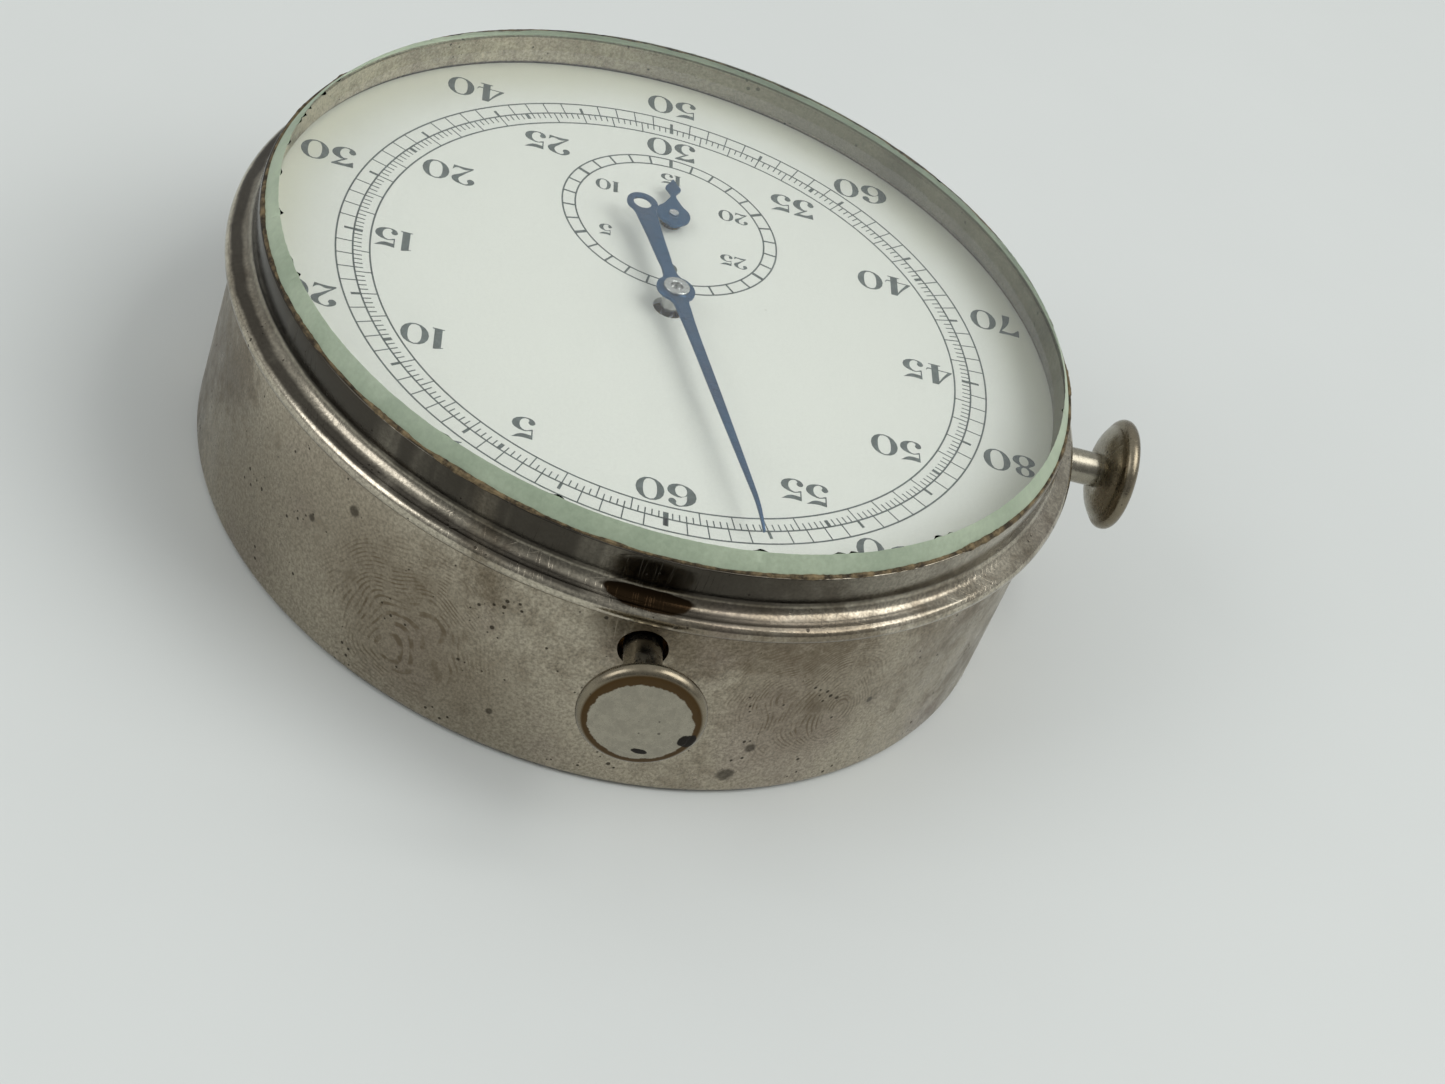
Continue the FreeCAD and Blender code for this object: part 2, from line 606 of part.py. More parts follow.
def make_frame():
    """Main plate, back plate, pillars, screws, bearings and the balance cock."""
    main = disc(FRAME_RADIUS, PLATE_LOW, PLATE_TOP)
    back = disc(BACK_PLATE_RADIUS, BACK_PLATE_LOW, BACK_PLATE_TOP)
    main_jewels = []
    back_jewels = []
    for at in pivot_places():
        hole = ARBOR if at == CENTRE else PIVOT
        main = main.cut(disc(JEWEL_RADIUS, PLATE_LOW, PLATE_TOP, at))
        back = back.cut(disc(BACK_JEWEL_RADIUS, BACK_PLATE_LOW, BACK_PLATE_TOP, at))
        main_jewels.append(jewel(at, hole, PLATE_LOW, PLATE_TOP))
        back_jewels.append(jewel(at, PIVOT, BACK_PLATE_LOW, BACK_PLATE_TOP, BACK_JEWEL_RADIUS))
    main = main.cut(disc(JEWEL_RADIUS, PLATE_LOW, PLATE_TOP, BALANCE))
    main_jewels.append(jewel(BALANCE, PIVOT, PLATE_LOW, PLATE_TOP))
    cock_jewel = jewel(BALANCE, PIVOT, BACK_PLATE_LOW, BACK_PLATE_TOP, BACK_JEWEL_RADIUS)
    export("jewels", Part.makeCompound(main_jewels + back_jewels + [cock_jewel]))

    main = main.cut(disc(BARREL_ARBOR + STUD_FIT, PLATE_LOW, PLATE_TOP, BARREL))
    back = back.cut(disc(BARREL_ARBOR + STUD_FIT, BACK_PLATE_LOW, BACK_PLATE_TOP, BARREL))
    back = back.cut(disc(BALANCE_RADIUS + 0.35, BACK_PLATE_LOW, BACK_PLATE_TOP, BALANCE))
    cock_room = [BALANCE, polar(2.0, direction(BALANCE, COCK_FOOT), COCK_FOOT)]
    back = back.cut(bar(cock_room, COCK_FOOT_RADIUS + GAP, BACK_PLATE_LOW, BACK_PLATE_TOP))

    pillars = []
    screws = []
    for at in PILLARS:
        pillar = disc(1.2, BACK_PLATE_TOP, PLATE_LOW, at)
        pillars.append(pillar.cut(disc(SCREW_HOLE, BACK_PLATE_TOP, BACK_PLATE_TOP + 2.0, at)))
        back = back.cut(disc(SCREW_HOLE, BACK_PLATE_LOW, BACK_PLATE_TOP, at))
    export("pillars", Part.makeCompound(pillars))
    for at in PILLARS + [COCK_FOOT]:
        screws.append(screw(
            at, SCREW_HEAD, BACK_PLATE_LOW - SCREW_HEAD_HEIGHT, BACK_PLATE_LOW, SCREW_SHANK,
            BACK_PLATE_TOP + 1.8, False,
        ))
    for at, high in spring_feet():
        head_high = high + SCREW_HEAD_HEIGHT
        screws.append(screw(at, SCREW_HEAD, high, head_high, SCREW_SHANK, PLATE_TOP - 1.2, True))
        main = main.cut(disc(SCREW_HOLE, PLATE_TOP - 1.4, PLATE_TOP, at))
    export("movement_screws", Part.makeCompound(screws))

    for degrees in FRAME_SCREW_ANGLES:
        main = main.cut(disc(0.4, PLATE_LOW, PLATE_TOP, polar(RING_MIDDLE, degrees)))
    for at in stud_places():
        main = main.cut(disc(STUD, PLATE_LOW + 0.4, PLATE_TOP, at))
    slot_at = polar(BALANCE_RADIUS + 0.85, 50.0, BALANCE)
    main = main.cut(disc(1.35, PLATE_LOW, PLATE_TOP, slot_at))
    export("main_plate", main)
    export("back_plate", back)

    cock = bar([BALANCE, COCK_FOOT], COCK_FOOT_RADIUS, BACK_PLATE_LOW, BACK_PLATE_TOP)
    cock = fused([cock, disc(COCK_FOOT_RADIUS, BACK_PLATE_LOW, PLATE_LOW, COCK_FOOT)])
    cock = cock.cut(disc(SCREW_HOLE, BACK_PLATE_LOW, BACK_PLATE_TOP + 2.0, COCK_FOOT))
    cock = cock.cut(disc(BACK_JEWEL_RADIUS, BACK_PLATE_LOW, BACK_PLATE_TOP, BALANCE))
    export("balance_cock", cock)


def spring_feet():
    """Centre and top of the foot of each blade spring."""
    return [(points[0], low + BLADE_HEIGHT) for low, points in BLADES.values()]


def stud_places():
    """Centres of the pieces that turn on studs in the main plate."""
    return [COLUMN, START_PIVOT, BRAKE_PIVOT, HAMMER_PIVOT, CLICK_PIVOT, IDLER]


def make_studs():
    """Shouldered studs under the dial: a body the piece turns on and a slotted head over it."""
    tops = {
        COLUMN: COLUMN_HIGH, START_PIVOT: LEVER_HIGH, BRAKE_PIVOT: LEVER_HIGH,
        HAMMER_PIVOT: HAMMER_LOW + LEVER_THICKNESS, CLICK_PIVOT: RATCHET_HIGH, IDLER: IDLER_WHEEL_LOW + 0.6,
    }
    studs = [disc(REGISTER_POST, PLATE_TOP, PLATE_TOP + 2.0, REGISTER)]
    for at, top in tops.items():
        radius = IDLER_STUD if at == IDLER else STUD
        stem = disc(radius, PLATE_TOP, top + GAP, at)
        foot = disc(STUD, PLATE_LOW + 0.4, PLATE_TOP, at)
        head = disc(radius + 0.45, top + GAP, top + GAP + 0.3, at)
        slot = block(4.0, 0.25, top + GAP + 0.12, top + GAP + 0.3, at, 20.0)
        studs.append(fused([foot, stem, head]).cut(slot))
    export("lever_studs", Part.makeCompound(studs))


# ---------------------------------------------------------------- train


def arbor(at, low, high, radius=ARBOR):
    """Plain arbor between the plates with a thinner pivot in each."""
    return turned([
        (0.0, BACK_PLATE_LOW + 0.2), (PIVOT, BACK_PLATE_LOW + 0.2), (PIVOT, low), (radius, low),
        (radius, high), (PIVOT, high), (PIVOT, PLATE_TOP - 0.4), (0.0, PLATE_TOP - 0.4),
    ], at)


def train_wheel(teeth, module, mate, low, at, mate_at, arms=5):
    """Crossed-out wheel, a tooth of it pointing at its pinion."""
    angle = direction(at, mate_at)
    high = low + WHEEL_THICKNESS
    solid = wheel(teeth, module, mate, low, high, at, angle)
    solid = crossed_out(solid, at, 1.5, teeth * module / 2 - 0.95, arms, low, high)
    return solid.cut(disc(ARBOR, low, high, at))


def train_pinion(leaves, module, low, at, mate_at, reach=0.1):
    """Pinion with a space towards the wheel that drives it or is driven by it."""
    angle = leaf_space(leaves, direction(mate_at, at))
    return pinion(leaves, module, low - reach, low + WHEEL_THICKNESS + reach, at, angle)


def make_train():
    """Barrel, second, third, centre and escape wheels."""
    barrel_teeth_high = BARREL_LOW + 0.9
    barrel = wheel(
        BARREL_TEETH, TRAIN_MODULE, SECOND_LEAVES, BARREL_LOW, barrel_teeth_high, BARREL,
        direction(BARREL, SECOND),
    )
    drum_radius = BARREL_TEETH * TRAIN_MODULE / 2 - 0.4
    drum = fused([barrel, disc(drum_radius, BARREL_LOW, BARREL_HIGH, BARREL)])
    drum = drum.cut(disc(drum_radius - 0.4, BARREL_LOW + 0.4, BARREL_HIGH, BARREL))
    drum = drum.cut(disc(BARREL_ARBOR + STUD_FIT, BARREL_LOW, BARREL_HIGH, BARREL))
    export("barrel", drum)
    cover = ring(drum_radius - 0.4, BARREL_ARBOR + STUD_FIT, BARREL_HIGH - 0.4, BARREL_HIGH, BARREL)
    export("barrel_cover", cover)
    export("mainspring", spiral(
        BARREL_ARBOR + 0.9, drum_radius - 0.65, 9, 0.16, BARREL_LOW + 0.55, BARREL_HIGH - 0.55, BARREL,
    ))

    winding = turned([
        (0.0, BACK_PLATE_LOW), (BARREL_ARBOR, BACK_PLATE_LOW), (BARREL_ARBOR, RATCHET_LOW),
        (0.8, RATCHET_LOW), (0.8, RATCHET_HIGH), (0.0, RATCHET_HIGH),
    ], BARREL)
    export("barrel_arbor", winding)
    ratchet = saw_wheel(
        RATCHET_TEETH, RATCHET_RADIUS, RATCHET_DEPTH, RATCHET_LOW, RATCHET_HIGH, BARREL, RATCHET_ANGLE,
    )
    export("ratchet_wheel", ratchet.cut(disc(0.8, RATCHET_LOW, RATCHET_HIGH, BARREL)))

    second_wheel = train_wheel(SECOND_TEETH, TRAIN_MODULE, THIRD_LEAVES, SECOND_WHEEL_LOW, SECOND, THIRD)
    export("second_wheel", second_wheel)
    second_pinion = pinion(
        SECOND_LEAVES, TRAIN_MODULE, BARREL_LOW - 0.1, barrel_teeth_high + 0.1, SECOND,
        leaf_space(SECOND_LEAVES, direction(BARREL, SECOND)),
    )
    export("second_arbor", fused([arbor(SECOND, BACK_PLATE_TOP + GAP, PLATE_LOW - GAP), second_pinion]))

    third_wheel = train_wheel(THIRD_TEETH, TRAIN_MODULE, CENTRE_LEAVES, THIRD_WHEEL_LOW, THIRD, CENTRE)
    export("third_wheel", third_wheel)
    third_pinion = train_pinion(THIRD_LEAVES, TRAIN_MODULE, SECOND_WHEEL_LOW, THIRD, SECOND)
    export("third_arbor", fused([arbor(THIRD, BACK_PLATE_TOP + GAP, PLATE_LOW - GAP), third_pinion]))

    centre_wheel = train_wheel(CENTRE_TEETH, ESCAPE_MODULE, ESCAPE_LEAVES, CENTRE_WHEEL_LOW, CENTRE, ESCAPE)
    export("centre_wheel", centre_wheel)
    centre_pinion = train_pinion(CENTRE_LEAVES, TRAIN_MODULE, THIRD_WHEEL_LOW, CENTRE, THIRD)
    shaft = turned([
        (0.0, BACK_PLATE_LOW + 0.2), (PIVOT, BACK_PLATE_LOW + 0.2), (PIVOT, BACK_PLATE_TOP + GAP),
        (ARBOR, BACK_PLATE_TOP + GAP), (ARBOR, DIAL_LOW), (CENTRE_POST, DIAL_LOW),
        (CENTRE_POST, SECONDS_LOW + 0.1), (0.0, SECONDS_LOW + 0.1),
    ])
    register_high = IDLER_WHEEL_LOW + WHEEL_THICKNESS + 0.1
    register_pinion = pinion(
        REGISTER_LEAVES, REGISTER_MODULE, IDLER_WHEEL_LOW - 0.1, register_high, CENTRE,
        leaf_space(REGISTER_LEAVES, direction(IDLER, CENTRE)),
    )
    export("centre_arbor", fused([shaft, centre_pinion, register_pinion]))

    export("escape_wheel", make_escape_wheel())
    escape_pinion = train_pinion(ESCAPE_LEAVES, ESCAPE_MODULE, CENTRE_WHEEL_LOW, ESCAPE, CENTRE)
    escape_arbor = arbor(ESCAPE, BACK_PLATE_TOP + GAP, PLATE_LOW - GAP, 0.35)
    export("escape_arbor", fused([escape_arbor, escape_pinion]))


def saw_wheel(teeth, radius, depth, low, high, at, tooth_angle):
    """Ratchet: each tooth has a steep face on its anticlockwise side."""
    pitch = 360.0 / teeth
    points = []
    for k in range(teeth):
        tip = tooth_angle - 0.12 * pitch + k * pitch
        points.append(polar(radius - depth, tip - 0.72 * pitch, at))
        points.append(polar(radius, tip - 0.1 * pitch, at))
        points.append(polar(radius, tip, at))
        points.append(polar(radius - depth, tip + 0.02 * pitch, at))
    return prism(points, low, high)


def make_escape_wheel():
    """Escape wheel with forward-leaning pointed teeth and four arms."""
    low = ESCAPE_WHEEL_LOW
    high = low + FORK_THICKNESS
    pitch = 360.0 / ESCAPE_TEETH
    root = ESCAPE_RADIUS * 0.76
    points = []
    for k in range(ESCAPE_TEETH):
        base = ESCAPEMENT_LINE + (k + 0.5) * pitch
        points.append(polar(root, base + 0.45 * pitch, ESCAPE))
        points.append(polar(root, base + 0.66 * pitch, ESCAPE))
        points.append(polar(ESCAPE_RADIUS * 0.985, base + 0.93 * pitch, ESCAPE))
        points.append(polar(ESCAPE_RADIUS, base + pitch, ESCAPE))
    solid = prism(points, low, high)
    solid = crossed_out(solid, ESCAPE, 0.9, root - 0.45, 4, low, high)
    return solid.cut(disc(0.35, low, high, ESCAPE))


def make_escapement():
    """Pallet fork with its stones, balance with its roller and hairspring."""
    low = ESCAPE_WHEEL_LOW
    high = low + FORK_THICKNESS
    stones = []
    arms = []
    for side in (-1, 1):
        angle = ESCAPEMENT_LINE + side * PALLET_SPAN / 2
        tip = ESCAPE_RADIUS + PALLET_OPEN
        middle = polar(tip + 0.45, angle, ESCAPE)
        stones.append(block(0.9, 0.36, low - 0.05, high + 0.05, middle, angle))
        arms.append(bar([PALLET, polar(tip + 0.72, angle, ESCAPE)], 0.3, low, high))
    notch_at = polar(BALANCE_DISTANCE - IMPULSE_RADIUS, ESCAPEMENT_LINE, PALLET)
    tail = bar([PALLET, polar(-0.7, ESCAPEMENT_LINE, notch_at)], 0.32, low, high)
    horns = block(1.3, 1.3, low, high, polar(-0.15, ESCAPEMENT_LINE, notch_at), ESCAPEMENT_LINE)
    notch_middle = polar(0.25, ESCAPEMENT_LINE, notch_at)
    notch = block(1.2, 2 * (IMPULSE_PIN + 0.05), low, high, notch_middle, ESCAPEMENT_LINE)
    fork = fused(arms + [tail, horns]).cut(notch)
    for stone in stones:
        fork = fork.cut(stone)
    fork = fork.cut(disc(0.3, low, high, PALLET))
    export("pallet_fork", fork)
    export("pallet_stones", Part.makeCompound(stones))
    export("pallet_arbor", arbor(PALLET, BACK_PLATE_TOP + GAP, PLATE_LOW - GAP, 0.3))

    low = BALANCE_LOW
    high = low + BALANCE_THICKNESS
    rim = ring(BALANCE_RADIUS, BALANCE_RADIUS - 0.8, low, high, BALANCE)
    arm = block(2 * BALANCE_RADIUS - 1.0, 0.9, low + 0.2, low + 0.5, BALANCE, ESCAPEMENT_LINE + 60)
    hub = disc(1.1, low + 0.1, low + 0.7, BALANCE)
    export("balance_wheel", fused([rim, arm, hub]).cut(disc(0.35, low, high, BALANCE)))
    export("balance_staff", arbor(BALANCE, BACK_PLATE_TOP + GAP, PLATE_LOW - GAP, 0.35))
    roller_low = ESCAPE_WHEEL_LOW + FORK_THICKNESS + 0.15
    roller = ring(1.45, 0.35, roller_low, roller_low + 0.3, BALANCE)
    pin_at = polar(-IMPULSE_RADIUS, ESCAPEMENT_LINE, BALANCE)
    pin = disc(IMPULSE_PIN, ESCAPE_WHEEL_LOW - 0.05, roller_low + 0.1, pin_at)
    export("roller", fused([roller, pin]))
    export("hairspring", spiral(0.8, 3.4, 8, 0.06, BACK_PLATE_TOP + 0.4, BACK_PLATE_TOP + 0.7, BALANCE))


# ---------------------------------------------------------------- register and reset


def make_register():
    """Thirty-to-one gearing from the centre arbor to the minute hand, and the two hearts."""
    high = IDLER_WHEEL_LOW + WHEEL_THICKNESS
    idler = wheel(
        IDLER_TEETH, REGISTER_MODULE, REGISTER_LEAVES, IDLER_WHEEL_LOW, high, IDLER, direction(IDLER, CENTRE),
    )
    idler_pinion = pinion(
        IDLER_LEAVES, REGISTER_MODULE, MINUTE_WHEEL_LOW - 0.1, IDLER_WHEEL_LOW, IDLER,
        leaf_space(IDLER_LEAVES, direction(REGISTER, IDLER)),
    )
    collar = disc(0.5, PLATE_TOP + 0.15, MINUTE_WHEEL_LOW - 0.1, IDLER)
    hub = disc(0.7, IDLER_WHEEL_LOW, IDLER_WHEEL_LOW + 0.6, IDLER)
    idler = fused([idler, idler_pinion, collar, hub])
    idler = idler.cut(disc(IDLER_STUD + STUD_FIT, PLATE_TOP, IDLER_WHEEL_LOW + 1.0, IDLER))
    export("register_idler", idler)

    minute_wheel = wheel(
        MINUTE_TEETH, REGISTER_MODULE, IDLER_LEAVES, MINUTE_WHEEL_LOW, MINUTE_WHEEL_LOW + WHEEL_THICKNESS,
        REGISTER, direction(REGISTER, IDLER),
    )
    minute_wheel = crossed_out(
        minute_wheel, REGISTER, 1.3, MINUTE_TEETH * REGISTER_MODULE / 2 - 0.8, 5,
        MINUTE_WHEEL_LOW, MINUTE_WHEEL_LOW + WHEEL_THICKNESS,
    )
    minute_bore = disc(0.5, MINUTE_WHEEL_LOW, MINUTE_WHEEL_LOW + WHEEL_THICKNESS, REGISTER)
    export("minute_wheel", minute_wheel.cut(minute_bore))
    post_bore = REGISTER_POST + PIVOT_FIT
    export("minute_arbor", turned([
        (post_bore, PLATE_TOP + 0.15), (0.5, PLATE_TOP + 0.15), (0.5, DIAL_LOW - 0.2), (0.34, DIAL_LOW - 0.2),
        (0.34, MINUTE_LOW + 0.35), (0.0, MINUTE_LOW + 0.35),
        (0.0, PLATE_TOP + 2.2), (post_bore, PLATE_TOP + 2.2),
    ], REGISTER))

    turn_back = SECONDS_ANGLE - 90.0
    heart = cam(180.0 + turn_back, 1.3, SECONDS_HEART, HEART_LOW, HEART_HIGH, CENTRE)
    export("seconds_heart", heart.cut(disc(ARBOR, HEART_LOW, HEART_HIGH)))
    turn_back = MINUTE_ANGLE - 90.0
    heart = cam(180.0 + turn_back, 1.1, MINUTE_HEART, HEART_LOW, HEART_HIGH, REGISTER)
    export("minute_heart", heart.cut(disc(0.5, HEART_LOW, HEART_HIGH, REGISTER)))


# ---------------------------------------------------------------- levers under the dial


def make_column_wheel():
    """Column wheel: a ratchet of twelve teeth under six columns."""
    ratchet = saw_wheel(
        COLUMN_TEETH, COLUMN_RATCHET_RADIUS, COLUMN_RATCHET_DEPTH, COLUMN_RATCHET_LOW, COLUMN_RATCHET_HIGH,
        COLUMN, 15.0,
    )
    inside = COLUMN_CORE - 0.05
    outside = COLUMN_RADIUS + 1.0
    columns = ring(COLUMN_RADIUS, inside, COLUMN_RATCHET_HIGH, COLUMN_HIGH, COLUMN)
    for k in range(COLUMN_TEETH // 2):
        angle = COLUMN_GAP_ANGLE + 720.0 / COLUMN_TEETH * k
        corners = [(inside, -34), (outside, -15), (outside, 15), (inside, 34)]
        points = [polar(radius, angle + turn, COLUMN) for radius, turn in corners]
        columns = columns.cut(prism(points, COLUMN_RATCHET_HIGH, COLUMN_HIGH))
    core = disc(COLUMN_CORE, PLATE_TOP + 0.15, COLUMN_HIGH, COLUMN)
    solid = fused([ratchet, core, columns])
    return solid.cut(disc(STUD + STUD_FIT, PLATE_TOP, COLUMN_HIGH, COLUMN))


def make_levers():
    """Start lever with its pawls, column wheel, brake lever, reset hammer and their springs."""
    export("column_wheel", make_column_wheel())

    lever = fused([
        bar([START_PIVOT] + LEVER_BENDS, LEVER_HALF, LEVER_LOW, LEVER_HIGH),
        disc(LEVER_NOSE, LEVER_LOW, LEVER_HIGH, (0.0, START_END - GAP - LEVER_NOSE)),
        disc(LEVER_BOSS, LEVER_LOW, LEVER_HIGH, START_PIVOT),
    ])
    lever = lever.cut(disc(STUD + STUD_FIT, LEVER_LOW, LEVER_HIGH, START_PIVOT))
    for at in (HOOK_PIN, PAWL_PIN):
        lever = lever.cut(disc(LEVER_PIN, LEVER_LOW, LEVER_HIGH, at))
    export("start_lever", lever)

    hook_high = LEVER_LOW - GAP
    hook = bar([HOOK_PIN, (HOOK_PIN[0], 18.6)], 0.45, COLUMN_RATCHET_LOW, hook_high)
    tooth = prism([
        (-5.75, 18.6), (-6.3, 17.65), (-6.2, 17.45), (-4.9, 17.9), (-4.85, 18.6),
    ], COLUMN_RATCHET_LOW, hook_high)
    hook = fused([hook, tooth, disc(LEVER_PIN, hook_high, LEVER_HIGH, HOOK_PIN)])
    export("column_wheel_hook", hook)

    pawl_tip = polar(RATCHET_RADIUS + PAWL_GAP, RATCHET_ANGLE + 1.0, BARREL)
    pawl_low = RATCHET_LOW + 0.05
    pawl_high = RATCHET_HIGH - 0.05
    pawl = bar([PAWL_PIN, (7.6, 18.9)], 0.5, pawl_low, pawl_high)
    point = prism([
        (7.2, 19.1), (pawl_tip[0] - 0.1, pawl_tip[1] + 0.25), pawl_tip,
        (pawl_tip[0] + 0.5, pawl_tip[1] + 0.05), (7.95, 18.6),
    ], pawl_low, pawl_high)
    pawl = fused([pawl, point, disc(LEVER_PIN, pawl_high, LEVER_HIGH, PAWL_PIN)])
    export("winding_pawl", pawl)

    beak = polar(2.55, 200.0, COLUMN)
    brake = bar([(beak[0] - 1.2, beak[1] - 1.6), BRAKE_PIVOT], 0.7, LEVER_LOW, LEVER_HIGH)
    beak_point = prism([
        beak, (beak[0] - 1.9, beak[1] - 1.2), (beak[0] - 0.7, beak[1] - 2.0),
    ], LEVER_LOW, LEVER_HIGH)
    brake = fused([
        brake, beak_point,
        bar([BRAKE_PIVOT, BRAKE_PIN_AT], 0.7, LEVER_LOW, LEVER_HIGH),
        disc(STUD + 0.7, LEVER_LOW, LEVER_HIGH, BRAKE_PIVOT),
    ])
    brake = brake.cut(disc(STUD + STUD_FIT, LEVER_LOW, LEVER_HIGH, BRAKE_PIVOT))
    export("brake_lever", fused([brake, disc(BRAKE_PIN, BALANCE_LOW, LEVER_HIGH, BRAKE_PIN_AT)]))

    low = HAMMER_LOW
    high = low + LEVER_THICKNESS
    pad = (-RESET_END + GAP + HAMMER_PAD, 0.0)
    seconds_middle = (-(HAMMER_ARM + SECONDS_FACE) / 2, 0.0)
    minute_middle = (-(HAMMER_ARM + MINUTE_FACE) / 2, -REGISTER_DOWN + 0.3)
    hammer = fused([
        bar([HAMMER_PIVOT, (pad[0], -1.0), pad], 1.0, low, high),
        disc(HAMMER_PAD, low, high, pad),
        bar([HAMMER_PIVOT, HAMMER_ARM_BEND, (-7.0, 0.0)], 1.0, low, high),
        block(HAMMER_ARM - SECONDS_FACE, 2.6, low, high, seconds_middle, 0.0),
        block(HAMMER_ARM - MINUTE_FACE, 2.2, low, high, minute_middle, 0.0),
        disc(LEVER_BOSS, low, high, HAMMER_PIVOT),
    ])
    hammer = hammer.cut(disc(STUD + STUD_FIT, low, high, HAMMER_PIVOT))
    export("reset_hammer", hammer)

    click_at = RATCHET_ANGLE + 360.0 / RATCHET_TEETH * CLICK_TEETH
    click_tip = polar(RATCHET_RADIUS + CLICK_GAP, click_at, BARREL)
    aim = direction(CLICK_PIVOT, click_tip)
    side = polar(0.45, aim + 90)
    click_low = RATCHET_LOW + 0.05
    click_high = RATCHET_HIGH - 0.05
    click = fused([
        disc(1.3, click_low, click_high, CLICK_PIVOT),
        prism([
            (CLICK_PIVOT[0] + side[0], CLICK_PIVOT[1] + side[1]), click_tip,
            (CLICK_PIVOT[0] - 1.6 * side[0], CLICK_PIVOT[1] - 1.6 * side[1]),
        ], click_low, click_high),
    ])
    export("click", click.cut(disc(STUD + STUD_FIT, click_low, click_high, CLICK_PIVOT)))


def make_springs():
    """Blade springs on the main plate, each screwed down by its foot."""
    for name, (low, points) in BLADES.items():
        high = low + BLADE_HEIGHT
        foot = disc(1.1, PLATE_TOP, high, points[0])
        blade = bar(points, 0.14, low, high)
        export(name, fused([foot, blade]).cut(disc(SCREW_HOLE, PLATE_TOP, high, points[0])))


# ---------------------------------------------------------------- push-pieces


def lying(solid, degrees):
    """Lay an upright turned solid on the level axis that points outwards at an angle."""
    solid.rotate(Vector(0, 0, 0), Vector(0, 1, 0), 90)
    solid.rotate(Vector(0, 0, 0), Vector(0, 0, 1), degrees)
    solid.translate(Vector(0, 0, PUSH_HEIGHT))
    return solid


def make_push_piece(name, degrees, end):
    """Mushroom cap on a stem that slides in a guide, with its retaining screw."""
    under = CAP_FACE - CAP_THICKNESS
    rim_low = under + 0.85
    rim_high = CAP_FACE - 0.35
    rim_middle = (rim_low + rim_high) / 2
    rim_edge = CAP_RADIUS - 0.5
    crown = CAP_FACE - rim_high
    dome = (rim_edge ** 2 + crown ** 2) / (2 * crown)
    half_way = (rim_edge / 2, CAP_FACE - dome + math.sqrt(dome ** 2 - rim_edge ** 2 / 4))
    socket = under + 1.2
    cap = turned([
        (STEM_RADIUS, under),
        (STEM_RADIUS + 0.5, under),
        ((CAP_RADIUS - 1.35, under + 0.22), (CAP_RADIUS - 0.55, rim_low - 0.15)),
        (CAP_RADIUS - 0.45, rim_low),
        ((CAP_RADIUS, rim_middle), (rim_edge, rim_high)),
        (half_way, (0.0, CAP_FACE)),
        (0.0, socket),
        (STEM_RADIUS, socket),
    ])
    export(name + "_pusher_cap", lying(cap, degrees))

    stem_inner = end + COLLAR_LENGTH
    tapped = stem_inner + 3.0
    stem = turned([
        (0.0, tapped), (0.6, tapped), (0.6, stem_inner), (STEM_RADIUS, stem_inner),
        (STEM_RADIUS, socket), (0.0, socket),
    ])
    export(name + "_pusher_stem", lying(stem, degrees))
    collar = turned([
        (0.0, end), (COLLAR_RADIUS - 0.2, end), (COLLAR_RADIUS, end + 0.2), (COLLAR_RADIUS, stem_inner),
        (0.58, stem_inner), (0.58, tapped - 0.3), (0.0, tapped - 0.3),
    ])
    export(name + "_pusher_screw", lying(collar, degrees))


def make_guides():
    """Bored blocks on the main plate that guide the stems."""
    guides = []
    for degrees, end in ((90, START_END), (180, RESET_END)):
        near = end + COLLAR_LENGTH + PIVOT_FIT
        middle = polar(near + GUIDE_LENGTH / 2, degrees)
        reach = STEM_RADIUS + GUIDE_WALL
        guide = block(GUIDE_LENGTH, 2 * reach, PLATE_TOP, PUSH_HEIGHT + reach - GAP, middle, degrees)
        bore = lying_disc(STEM_RADIUS + STEM_FIT, near - 1, near + GUIDE_LENGTH + 1, degrees, PUSH_HEIGHT)
        guides.append(guide.cut(bore))
    export("pusher_guides", Part.makeCompound(guides))


def main():
    """Build every piece of the stopwatch."""
    os.makedirs("parts", exist_ok=True)
    make_case()
    make_dial()
    make_hands()
    make_frame()
    make_studs()
    make_train()
    make_escapement()
    make_register()
    make_levers()
    make_springs()
    make_push_piece("start", 90, START_END)
    make_push_piece("reset", 180, RESET_END)
    make_guides()


main()
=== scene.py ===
import json
import logging
import math
import random
from dataclasses import dataclass, field
from enum import Enum
from typing import Callable, Sequence

import bpy
from mathutils import Matrix, Vector


